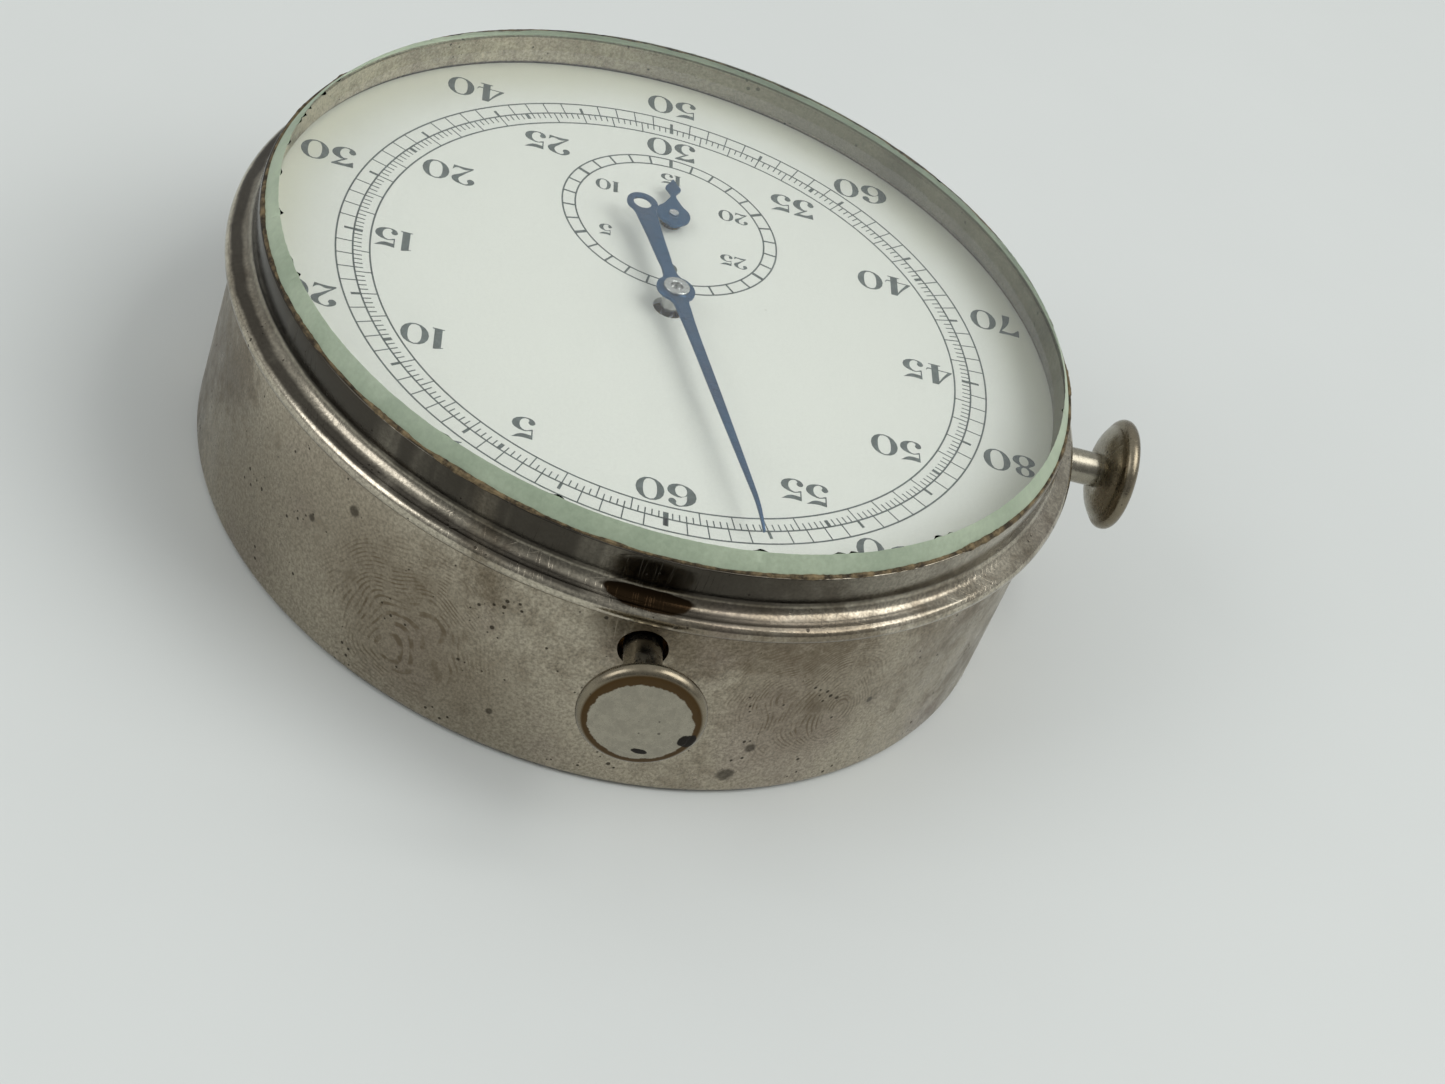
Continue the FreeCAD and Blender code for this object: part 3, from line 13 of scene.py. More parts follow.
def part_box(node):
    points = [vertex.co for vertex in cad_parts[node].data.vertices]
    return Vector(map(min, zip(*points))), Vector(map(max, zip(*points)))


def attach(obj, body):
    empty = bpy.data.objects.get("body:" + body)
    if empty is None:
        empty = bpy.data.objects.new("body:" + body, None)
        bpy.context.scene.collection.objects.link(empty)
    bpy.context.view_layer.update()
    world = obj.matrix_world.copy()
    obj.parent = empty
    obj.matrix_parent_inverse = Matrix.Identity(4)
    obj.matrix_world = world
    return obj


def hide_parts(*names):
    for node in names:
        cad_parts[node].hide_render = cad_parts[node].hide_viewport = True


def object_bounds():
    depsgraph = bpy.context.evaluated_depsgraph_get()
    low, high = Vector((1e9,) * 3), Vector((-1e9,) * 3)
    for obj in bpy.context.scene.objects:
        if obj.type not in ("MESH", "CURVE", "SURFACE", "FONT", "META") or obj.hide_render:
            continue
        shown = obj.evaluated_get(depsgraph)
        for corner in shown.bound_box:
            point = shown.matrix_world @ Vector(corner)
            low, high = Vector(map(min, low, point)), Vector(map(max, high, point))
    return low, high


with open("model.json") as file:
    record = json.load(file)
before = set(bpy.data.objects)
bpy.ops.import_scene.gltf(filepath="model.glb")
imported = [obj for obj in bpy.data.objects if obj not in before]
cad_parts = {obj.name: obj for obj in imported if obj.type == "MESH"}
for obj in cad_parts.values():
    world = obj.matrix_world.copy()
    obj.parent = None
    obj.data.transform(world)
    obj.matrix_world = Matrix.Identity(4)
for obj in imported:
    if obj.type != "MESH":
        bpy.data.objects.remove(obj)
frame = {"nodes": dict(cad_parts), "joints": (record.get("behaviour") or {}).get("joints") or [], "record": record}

# Looks of a mechanical stopwatch in a worn nickel-plated drum case. Metres.
# The frame is the design's own: +Z out of the dial, +Y to twelve o'clock, origin on the flat back.

MM = 0.001
CAD_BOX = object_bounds()
AXIS_RADIUS = 0.001 * MM
MERGE = 0.004 * MM
TURN_STEPS = 288
FINE_STEPS = 720
SMOOTH_ANGLE = math.radians(32.0)
NOISE_RANGE = (0.3, 0.7)

LOG = logging.getLogger("stopwatch")

Point = tuple[float, float]
Place = tuple[float, float, float]
Band = tuple[float, float, float]
Colour = tuple[float, float, float]


class Body(Enum):
    """Bodies of the design that new pieces ride on."""

    CASE = "case"
    SWEEP = "sweep"
    REGISTER = "register"
    START = "start_pusher"
    RESET = "reset_pusher"


class Corner(Enum):
    """How an outline passes through a point."""

    ROUND = "AUTO"
    SHARP = "VECTOR"


Knot = tuple[float, float, Corner]

# ---------------------------------------------------------------- bench tools


def lay_down() -> None:
    """Leave nothing selected, so that an operator acts on the new piece alone."""
    bpy.ops.object.select_all(action="DESELECT")


def take_up(piece: bpy.types.Object) -> None:
    """Make one piece the selected and active one."""
    lay_down()
    piece.select_set(True)
    bpy.context.view_layer.objects.active = piece


def freeze(piece: bpy.types.Object) -> None:
    """Move the piece's place and turn into its mesh."""
    take_up(piece)
    bpy.ops.object.transform_apply(location=True, rotation=True, scale=True)


def close_up() -> None:
    """Merge the doubles of the mesh in edit mode and point its faces outwards."""
    bpy.ops.mesh.select_all(action="SELECT")
    bpy.ops.mesh.remove_doubles(threshold=MERGE)
    bpy.ops.mesh.normals_make_consistent(inside=False)


def smooth(piece: bpy.types.Object, angle: float = SMOOTH_ANGLE) -> None:
    """Shade round faces smooth and keep real edges sharp."""
    take_up(piece)
    bpy.ops.object.shade_smooth_by_angle(angle=angle)


def bow(start: Point, through: Point, end: Point, steps: int) -> list[Point]:
    """Points of the arc through three places, without its first.

    Args:
        start: where the arc begins.
        through: a place on the arc.
        end: where the arc ends.
        steps: how many points to give.

    Returns:
        The points after the start, the last of them the end.
    """
    (ax, ay), (bx, by), (cx, cy) = start, through, end
    double = 2 * (ax * (by - cy) + bx * (cy - ay) + cx * (ay - by))
    a2, b2, c2 = ax * ax + ay * ay, bx * bx + by * by, cx * cx + cy * cy
    ox = (a2 * (by - cy) + b2 * (cy - ay) + c2 * (ay - by)) / double
    oy = (a2 * (cx - bx) + b2 * (ax - cx) + c2 * (bx - ax)) / double
    radius = math.hypot(ax - ox, ay - oy)
    first = math.atan2(ay - oy, ax - ox)
    middle = (math.atan2(by - oy, bx - ox) - first) % math.tau
    sweep = (math.atan2(cy - oy, cx - ox) - first) % math.tau
    if middle > sweep:
        sweep -= math.tau
    turns = [first + sweep * k / steps for k in range(1, steps + 1)]
    return [(ox + radius * math.cos(t), oy + radius * math.sin(t)) for t in turns]


def around(centre: Point, radius: float, first: float, last: float, steps: int) -> list[Point]:
    """Points of an arc from one angle in degrees to another, both ends included."""
    turns = [math.radians(first + (last - first) * k / steps) for k in range(steps + 1)]
    return [(centre[0] + radius * math.cos(t), centre[1] + radius * math.sin(t)) for t in turns]


def polar(radius: float, degrees: float, centre: Point = (0.0, 0.0)) -> Point:
    """Place at a radius and an angle from +X about a centre."""
    turn = math.radians(degrees)
    return centre[0] + radius * math.cos(turn), centre[1] + radius * math.sin(turn)


def turned(name: str, outline: Sequence[Point], steps: int = TURN_STEPS) -> bpy.types.Object:
    """Turn an outline about the Z axis, ring after ring, as on a lathe.

    Args:
        name: the piece's name.
        outline: stations of radius and height. A radius of zero closes the piece on its axis.
        steps: how many sides the ring has.

    Returns:
        The finished mesh, with its doubles merged.
    """
    lay_down()
    radius, height = max(outline[0][0], AXIS_RADIUS), outline[0][1]
    bpy.ops.mesh.primitive_circle_add(vertices=steps, radius=radius, location=(0.0, 0.0, height))
    piece = bpy.context.object
    piece.name = name
    freeze(piece)
    bpy.ops.object.mode_set(mode="EDIT")
    bpy.ops.mesh.select_all(action="SELECT")
    for next_radius, next_height in outline[1:]:
        next_radius = max(next_radius, AXIS_RADIUS)
        bpy.ops.mesh.extrude_region_move(TRANSFORM_OT_translate={"value": (0.0, 0.0, next_height - height)})
        share = next_radius / radius
        bpy.ops.transform.resize(value=(share, share, 1.0), center_override=(0.0, 0.0, 0.0))
        radius, height = next_radius, next_height
    close_up()
    bpy.ops.object.mode_set(mode="OBJECT")
    smooth(piece)
    return piece


def flat_piece(
    name: str, outlines: Sequence[Sequence[Knot]], low: float, high: float, bevel: float = 0.0,
    resolution: int = 4,
) -> bpy.types.Object:
    """Cut a flat piece out of sheet along closed outlines. Outlines inside others are holes.

    Args:
        name: the piece's name.
        outlines: closed outlines of x, y and corner.
        low: height of the underside.
        high: height of the upper face.
        bevel: rounding of the edges.
        resolution: steps between two points of an outline.

    Returns:
        The piece as a mesh in its place.
    """
    curve = bpy.data.curves.new(name, "CURVE")
    curve.dimensions = "2D"
    curve.fill_mode = "BOTH"
    curve.resolution_u = resolution
    curve.extrude = (high - low) / 2 - bevel
    curve.bevel_depth = bevel
    curve.bevel_resolution = 2
    curve.offset = -bevel
    for outline in outlines:
        spline = curve.splines.new("BEZIER")
        spline.bezier_points.add(len(outline) - 1)
        spline.use_cyclic_u = True
        for knot, (x, y, corner) in zip(spline.bezier_points, outline):
            knot.co = (x, y, 0.0)
            knot.handle_left_type = corner.value
            knot.handle_right_type = corner.value
    piece = bpy.data.objects.new(name, curve)
    bpy.context.scene.collection.objects.link(piece)
    take_up(piece)
    bpy.ops.object.convert(target="MESH")
    piece = bpy.context.object
    piece.location.z = (low + high) / 2
    freeze(piece)
    bpy.ops.object.mode_set(mode="EDIT")
    close_up()
    bpy.ops.object.mode_set(mode="OBJECT")
    return piece


def joined(name: str, pieces: Sequence[bpy.types.Object]) -> bpy.types.Object:
    """Join several meshes into one piece."""
    lay_down()
    for piece in pieces:
        piece.select_set(True)
    bpy.context.view_layer.objects.active = pieces[0]
    bpy.ops.object.join()
    pieces[0].name = name
    return pieces[0]


def drilled(piece: bpy.types.Object, tool: bpy.types.Object) -> None:
    """Cut the tool's shape out of the piece and remove the tool."""
    take_up(piece)
    cut = piece.modifiers.new("drill", "BOOLEAN")
    cut.operation = "DIFFERENCE"
    cut.solver = "EXACT"
    cut.object = tool
    bpy.ops.object.modifier_apply(modifier=cut.name)
    bpy.data.objects.remove(tool)


def dress(piece: bpy.types.Object, *materials: bpy.types.Material) -> None:
    """Give the piece its materials, in the order of its slots."""
    piece.data.materials.clear()
    for material in materials:
        piece.data.materials.append(material)


def hand_over(piece: bpy.types.Object, body: Body, slot: str, *nodes: str) -> None:
    """Let a finished piece ride on its body, in place of design nodes.

    Args:
        piece: the finished piece.
        body: the body it moves with.
        slot: the record's material slot; not used.
        nodes: the design nodes that it stands for.
    """
    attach(piece, body.value)
    if nodes:
        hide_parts(*nodes)
    LOG.info("%s rides on %s with %d faces", piece.name, body.value, len(piece.data.polygons))


# ---------------------------------------------------------------- shader bench


class Sheet:
    """Adds nodes to a node tree and joins them, with as few words as can be."""

    def __init__(self, tree: bpy.types.NodeTree) -> None:
        """Keep the tree that nodes are added to."""
        self.tree = tree

    def feed(self, socket: bpy.types.NodeSocket, value: object) -> None:
        """Link a socket to another, or set its value."""
        if isinstance(value, bpy.types.NodeSocket):
            self.tree.links.new(value, socket)
        elif isinstance(value, tuple) and socket.type == "RGBA":
            socket.default_value = (*value, 1.0)
        else:
            socket.default_value = value

    def add(self, kind: str, *values: object, **settings: object) -> bpy.types.Node:
        """Add one node.

        Args:
            kind: the node type without its "ShaderNode" prefix.
            values: what its first sockets get, in their order.
            settings: properties by their names, and sockets by their names with _ for a space.

        Returns:
            The new node.
        """
        node = self.tree.nodes.new("ShaderNode" + kind)
        for key, value in settings.items():
            if hasattr(node, key):
                setattr(node, key, value)
            else:
                self.feed(node.inputs[key.replace("_", " ")], value)
        for socket, value in zip(node.inputs, values):
            self.feed(socket, value)
        return node

    def sum(self, operation: str, *values: object) -> bpy.types.NodeSocket:
        """Result of a Math node on values or sockets."""
        return self.add("Math", *values, operation=operation).outputs[0]

    def vector(self, operation: str, *values: object) -> bpy.types.NodeSocket:
        """Result of a Vector Math node on places or plain vectors."""
        return self.add("VectorMath", *values, operation=operation).outputs["Vector"]

    def length(self, place: object) -> bpy.types.NodeSocket:
        """Distance of a place from its origin."""
        return self.add("VectorMath", place, operation="LENGTH").outputs["Value"]

    def radius(self, place: object) -> bpy.types.NodeSocket:
        """Distance of a place from the Z axis."""
        return self.length(self.vector("MULTIPLY", place, (1.0, 1.0, 0.0)))

    def axis(self, place: object, name: str) -> bpy.types.NodeSocket:
        """One coordinate of a place: X, Y or Z."""
        return self.add("SeparateXYZ", place).outputs[name]

    def place(self, scale: Sequence[float] = (1.0, 1.0, 1.0),
              shift: Sequence[float] = (0.0, 0.0, 0.0)) -> bpy.types.NodeSocket:
        """Object coordinates, moved and scaled by a Mapping node."""
        where = self.add("TexCoord").outputs["Object"]
        return self.add("Mapping", where, Location=tuple(shift), Scale=tuple(scale)).outputs["Vector"]

    def noise(self, place: object, scale: object, detail: float = 4.0, rough: float = 0.55,
              warp: float = 0.0) -> bpy.types.NodeSocket:
        """Noise value at a place, with its scale in lumps per metre."""
        node = self.add("TexNoise", place, Scale=scale, Detail=detail, Roughness=rough, Distortion=warp)
        return node.outputs["Fac"]

    def fade(self, value: object, low: object, high: object,
             out: Point = (0.0, 1.0)) -> bpy.types.NodeSocket:
        """Smooth step of a value from low to high, given as the out range."""
        node = self.add("MapRange", value, low, high, out[0], out[1], interpolation_type="SMOOTHSTEP")
        return node.outputs["Result"]

    def spread(self, noise: object, out: Point) -> bpy.types.NodeSocket:
        """Noise spread over the out range."""
        return self.fade(noise, *NOISE_RANGE, out)

    def blend(self, share: object, under: object, over: object, how: str = "MIX") -> bpy.types.NodeSocket:
        """Colour mix of two colours by a mask."""
        node = self.add("Mix", data_type="RGBA", blend_type=how, Factor=share)
        self.feed(node.inputs[6], under)
        self.feed(node.inputs[7], over)
        return node.outputs[2]

    def cover(self, under: object, mask: object, depth: float, over: Colour) -> bpy.types.NodeSocket:
        """Cover a colour with another where a mask is, as deeply as told."""
        return self.blend(self.sum("MULTIPLY", mask, depth), under, over)

    def mottle(self, colour: object, noise: object, out: Point) -> bpy.types.NodeSocket:
        """Lighten and darken a colour by a noise."""
        return self.blend(1.0, colour, self.spread(noise, out), "MULTIPLY")

    def between(self, value: object, low: Point, high: Point) -> bpy.types.NodeSocket:
        """Mask of a value that fades in over the low range and out over the high one."""
        return self.sum("MULTIPLY", self.fade(value, *low), self.fade(value, *high, (1.0, 0.0)))

    def total(self, *terms: tuple[object, float]) -> bpy.types.NodeSocket:
        """Sum of values, each with its weight."""
        result: object = 0.0
        for value, weight in terms:
            result = self.sum("MULTIPLY_ADD", value, weight, result)
        return result

    def paint(self, shader: bpy.types.Node, **values: object) -> None:
        """Set the shader's sockets by their names with _ for a space."""
        for name, value in values.items():
            self.feed(shader.inputs[name.replace("_", " ")], value)

    def bump(self, shader: bpy.types.Node, height: object, depth: float, strength: float = 1.0) -> None:
        """Drive the shader's normal by a height, with its depth in metres."""
        bump = self.add("Bump", Strength=strength, Distance=depth, Height=height)
        self.paint(shader, Normal=bump.outputs["Normal"])


def effect(name: str, takes: dict[str, float], gives: Sequence[str],
           build: Callable[[Sheet, dict, dict], None]) -> bpy.types.NodeTree:
    """Make a node group for an effect that several finishes share.

    Args:
        name: the group's name.
        takes: its number inputs with their defaults. A place to measure at is always the first input.
        gives: the names of its outputs.
        build: draws the nodes between the group's inputs and outputs.

    Returns:
        The node group.
    """
    tree = bpy.data.node_groups.new(name, "ShaderNodeTree")
    tree.interface.new_socket("Place", in_out="INPUT", socket_type="NodeSocketVector")
    for label, default in takes.items():
        socket = tree.interface.new_socket(label, in_out="INPUT", socket_type="NodeSocketFloat")
        socket.default_value = default
    for label in gives:
        tree.interface.new_socket(label, in_out="OUTPUT", socket_type="NodeSocketFloat")
    entry = tree.nodes.new("NodeGroupInput")
    leave = tree.nodes.new("NodeGroupOutput")
    build(Sheet(tree), entry.outputs, leave.inputs)
    return tree


def draw_tarnish(sheet: Sheet, takes: dict, gives: dict) -> None:
    """Cloudy stains in two sizes, and a fine mottling on top of them."""
    cloud = sheet.noise(takes["Place"], takes["Scale"], 6.0, 0.62, 0.6)
    fine = sheet.noise(takes["Place"], sheet.sum("MULTIPLY", takes["Scale"], 9.0), 5.0, 0.7)
    both = sheet.sum("MULTIPLY_ADD", fine, 0.35, cloud)
    edges = [sheet.sum("SUBTRACT", edge, takes["Cover"]) for edge in (0.86, 1.06)]
    sheet.feed(gives["Stain"], sheet.fade(both, *edges))
    sheet.feed(gives["Mottle"], fine)


def draw_pits(sheet: Sheet, takes: dict, gives: dict) -> None:
    """Small dark pits, each a round spot, thinned out by a second noise."""
    spots = sheet.add("TexVoronoi", takes["Place"], feature="F1", Randomness=1.0, Scale=takes["Scale"])
    chosen = sheet.noise(takes["Place"], sheet.sum("MULTIPLY", takes["Scale"], 0.23), 2.0, 0.5)
    reach = sheet.sum("MULTIPLY", sheet.fade(chosen, 0.45, 0.75), takes["Size"])
    inside = sheet.sum("SUBTRACT", reach, spots.outputs["Distance"])
    sheet.feed(gives["Pit"], sheet.fade(inside, 0.0, 0.05))


def draw_prints(sheet: Sheet, takes: dict, gives: dict) -> None:
    """Finger ridges: warped rings round the place's origin, broken up by a finer noise."""
    warp = sheet.add("TexNoise", takes["Place"], Detail=1.0, Scale=150.0)
    bent = sheet.vector("MULTIPLY_ADD", warp.outputs["Color"], (4.0 * MM,) * 3, takes["Place"])
    lines = sheet.add("TexWave", bent, wave_type="RINGS", rings_direction="SPHERICAL", Distortion=0.0,
                      Scale=takes["Scale"])
    broken = sheet.noise(takes["Place"], 1100.0, 3.0, 0.5)
    ridge = sheet.fade(lines.outputs["Fac"], 0.45, 0.85)
    sheet.feed(gives["Ridge"], sheet.sum("MULTIPLY", ridge, sheet.fade(broken, 0.38, 0.62)))


def draw_scratches(sheet: Sheet, takes: dict, gives: dict) -> None:
    """Hairline scratches: thin crests of two long, stretched noises."""
    lines = []
    for turn, stretch in ((0.5, (1.0, 14.0, 1.0)), (-0.9, (16.0, 1.0, 1.0))):
        place = sheet.add("Mapping", takes["Place"], Rotation=(0.3, 0.0, turn), Scale=stretch)
        hair = sheet.noise(place.outputs["Vector"], takes["Scale"], 1.0, 0.5, 0.2)
        crest = sheet.sum("ABSOLUTE", sheet.sum("SUBTRACT", hair, 0.5))
        lines.append(sheet.fade(crest, 0.0, 0.012, (1.0, 0.0)))
    rare = sheet.fade(sheet.noise(takes["Place"], 160.0, 2.0, 0.5), 0.5, 0.68)
    sheet.feed(gives["Scratch"], sheet.sum("MULTIPLY", sheet.sum("MAXIMUM", *lines), rare))


def draw_grain(sheet: Sheet, takes: dict, gives: dict) -> None:
    """Fine grain left by the abrasive, stretched along X of the place."""
    place = sheet.add("Mapping", takes["Place"], Scale=(1.0, 40.0, 40.0))
    sheet.feed(gives["Grain"], sheet.noise(place.outputs["Vector"], takes["Scale"], 3.0, 0.6))


EFFECTS: dict[str, bpy.types.NodeTree] = {
    "tarnish": effect("tarnish", {"Scale": 60.0, "Cover": 0.2}, ["Stain", "Mottle"], draw_tarnish),
    "pits": effect("pits", {"Scale": 900.0, "Size": 0.3}, ["Pit"], draw_pits),
    "prints": effect("prints", {"Scale": 700.0}, ["Ridge"], draw_prints),
    "scratches": effect("scratches", {"Scale": 120.0}, ["Scratch"], draw_scratches),
    "grain": effect("grain", {"Scale": 300.0}, ["Grain"], draw_grain),
}


def apply_effect(sheet: Sheet, name: str, place: object, **values: float) -> bpy.types.NodeOutputs:
    """Place a shared effect in a finish and give its outputs.

    Args:
        sheet: the finish's node sheet.
        name: the effect.
        place: where the pattern is measured.
        values: the effect's own numbers.

    Returns:
        The outputs of the placed group.
    """
    node = sheet.add("Group", node_tree=EFFECTS[name])
    for label, value in {"Place": place, **values}.items():
        sheet.feed(node.inputs[label], value)
    return node.outputs


class Finish:
    """A material's recipe. A finish makes its material once and gives it again when asked."""

    made: dict[object, bpy.types.Material] = {}

    def material(self) -> bpy.types.Material:
        """The finish as a material."""
        if self not in Finish.made:
            material = bpy.data.materials.new(str(getattr(self, "name")))
            material.use_nodes = True
            self.draw(Sheet(material.node_tree), material.node_tree.nodes["Principled BSDF"])
            Finish.made[self] = material
        return Finish.made[self]

    def draw(self, sheet: Sheet, shader: bpy.types.Node) -> None:
        """Draw the finish's nodes into its shader."""
        raise NotImplementedError


@dataclass(frozen=True)
class Mark:
    """A stain with a place and a reach along each axis."""

    centre: Place
    reach: Place

    def mask(self, sheet: Sheet, place: bpy.types.NodeSocket, ragged: float = 0.35,
             lumps: float = 900.0, edge: Point = (1.1, 1.22)) -> bpy.types.NodeSocket:
        """Mask of the stain: one inside and nothing beyond its ragged edge.

        Args:
            sheet: the finish's node sheet.
            place: where the stain is measured.
            ragged: how far the edge wanders, as a share of the reach.
            lumps: lumps of the edge per metre.
            edge: shares of the reach between which the stain fades.

        Returns:
            The mask.
        """
        share = sheet.vector("DIVIDE", sheet.vector("SUBTRACT", place, self.centre), self.reach)
        wander = sheet.sum("MULTIPLY_ADD", sheet.noise(place, lumps, 4.0), ragged, sheet.length(share))
        return sheet.fade(wander, *edge, (1.0, 0.0))


@dataclass(frozen=True)
class WornNickel(Finish):
    """Nickel plate on brass, gone warm and blotchy, with specks, finger marks and worn-through spots."""

    name: str = "worn_nickel"
    plate: Colour = (0.44, 0.39, 0.305)
    stain: Colour = (0.15, 0.115, 0.075)
    flush: Colour = (0.33, 0.265, 0.24)
    pit: Colour = (0.035, 0.028, 0.02)
    brass: Colour = (0.020, 0.012, 0.006)
    # Dark colour of the bands: partly soot, partly painted shade and painted dark reflection.
    soot: Colour = (0.048, 0.042, 0.034)
    # Painted shade on the rim round the glass, darker towards minus X.
    dull: Colour = (0.17, 0.165, 0.13)
    rough: Point = (0.25, 0.44)
    fingers: tuple[Mark, ...] = ()
    clouds: tuple[Mark, ...] = ()
    spots: tuple[Mark, ...] = ()
    worn: tuple[Mark, ...] = ()
    bands: tuple[Band, ...] = ()
    clean_inside: float = 0.0

    def draw(self, sheet: Sheet, shader: bpy.types.Node) -> None:
        """Stains, mottling, specks, finger marks, bands of soot and painted shade, painted rim shade and worn
        spots.
        """
        place = sheet.place()
        tarnish = apply_effect(sheet, "tarnish", place, Scale=62.0, Cover=0.20)
        fine = apply_effect(sheet, "tarnish", place, Scale=520.0, Cover=0.10)
        pits = apply_effect(sheet, "pits", place, Scale=1700.0, Size=0.30)
        scratches = apply_effect(sheet, "scratches", place, Scale=110.0)
        colour = sheet.cover(self.plate, tarnish["Stain"], 0.75, self.stain)
        pink = sheet.fade(sheet.noise(place, 95.0, 3.0), 0.5, 0.7, (0.0, 0.30))
        colour = sheet.blend(pink, colour, self.flush)
        colour = sheet.cover(colour, fine["Stain"], 0.5, self.stain)
        colour = sheet.mottle(colour, fine["Mottle"], (0.62, 1.22))
        for cloud in self.clouds:
            colour = sheet.cover(colour, cloud.mask(sheet, place, 0.7, 160.0, (0.5, 1.7)), 0.34, self.stain)
        ridges: object = 0.0
        for finger in self.fingers:
            soft = finger.mask(sheet, place, 0.9, 210.0, (0.75, 1.55))
            colour = sheet.cover(colour, soft, 0.42, self.stain)
            about = sheet.place(shift=[-c for c in finger.centre])
            ridge = sheet.sum("MULTIPLY", apply_effect(sheet, "prints", about, Scale=1150.0)["Ridge"], soft)
            colour = sheet.cover(colour, ridge, 0.80, self.stain)
            ridges = sheet.sum("ADD", ridges, ridge)
        colour = sheet.cover(colour, pits["Pit"], 0.8, self.pit)
        for spot in self.spots:
            colour = sheet.cover(colour, spot.mask(sheet, place, 0.8, 1500.0, (1.0, 1.6)), 0.72, self.pit)
        # Dark bands: soot with painted shadow and painted dark reflection in the hollows.
        for low, high, depth in self.bands:
            colour = sheet.blend(self.band(sheet, place, low, high, depth), colour, self.soot)
        rough = sheet.fade(tarnish["Mottle"], 0.25, 0.75, self.rough)
        # Painted shade inside the rim radius, darker towards minus X, on rougher metal.
        if self.clean_inside:
            inner = sheet.fade(self.outside(sheet, place), 0.0, 1.0, (1.0, 0.0))
            side = sheet.fade(sheet.axis(place, "X"), -14.0 * MM, 14.0 * MM, (0.78, 0.0))
            colour = sheet.blend(sheet.sum("MULTIPLY", inner, side), colour, self.dull)
            rough = sheet.sum("MULTIPLY_ADD", inner, 0.24, rough)
        for mark in self.worn:
            bare = mark.mask(sheet, place)
            colour = sheet.blend(bare, colour, self.brass)
            rough = sheet.sum("MULTIPLY_ADD", bare, -0.08, rough)
        rough = sheet.total((rough, 1.0), (pits["Pit"], 0.25), (ridges, 0.08))
        sheet.paint(shader, Base_Color=colour, Metallic=1.0, Roughness=rough)
        height = sheet.total((tarnish["Mottle"], 0.5), (pits["Pit"], -1.0), (fine["Mottle"], 0.45),
                             (scratches["Scratch"], -0.5), (ridges, 0.4))
        sheet.bump(shader, height, 0.02 * MM, 0.6)

    def outside(self, sheet: Sheet, place: bpy.types.NodeSocket) -> bpy.types.NodeSocket:
        """Mask of what lies further out than the radius of the painted rim shade."""
        return sheet.fade(sheet.radius(place), self.clean_inside - 0.06 * MM, self.clean_inside)

    def band(self, sheet: Sheet, place: bpy.types.NodeSocket, low: float, high: float,
             depth: float) -> bpy.types.NodeSocket:
        """Mask of a dark ring between two heights, soot with painted shade and painted dark reflection, lighter
        towards nine o'clock and streaked.
        """
        wander = sheet.sum("SUBTRACT", sheet.noise(place, 420.0, 4.0), 0.5)
        height = sheet.sum("MULTIPLY_ADD", wander, 0.22 * MM, sheet.axis(place, "Z"))
        soft = 0.09 * MM
        ring = sheet.between(height, (low - soft, low + soft), (high - soft, high + soft))
        ring = sheet.sum("MULTIPLY", ring, self.outside(sheet, place))
        # Painted shade and dark reflection, lighter towards nine o'clock.
        side = sheet.fade(sheet.axis(place, "X"), -24.0 * MM, -2.0 * MM, (0.30 * depth, depth))
        streak = sheet.noise(sheet.place(scale=(1.0, 1.0, 0.1)), 190.0, 4.0)
        streak = sheet.fade(streak, 0.52, 0.74, (1.0, 0.62))
        return sheet.sum("MULTIPLY", ring, sheet.sum("MULTIPLY", side, streak))


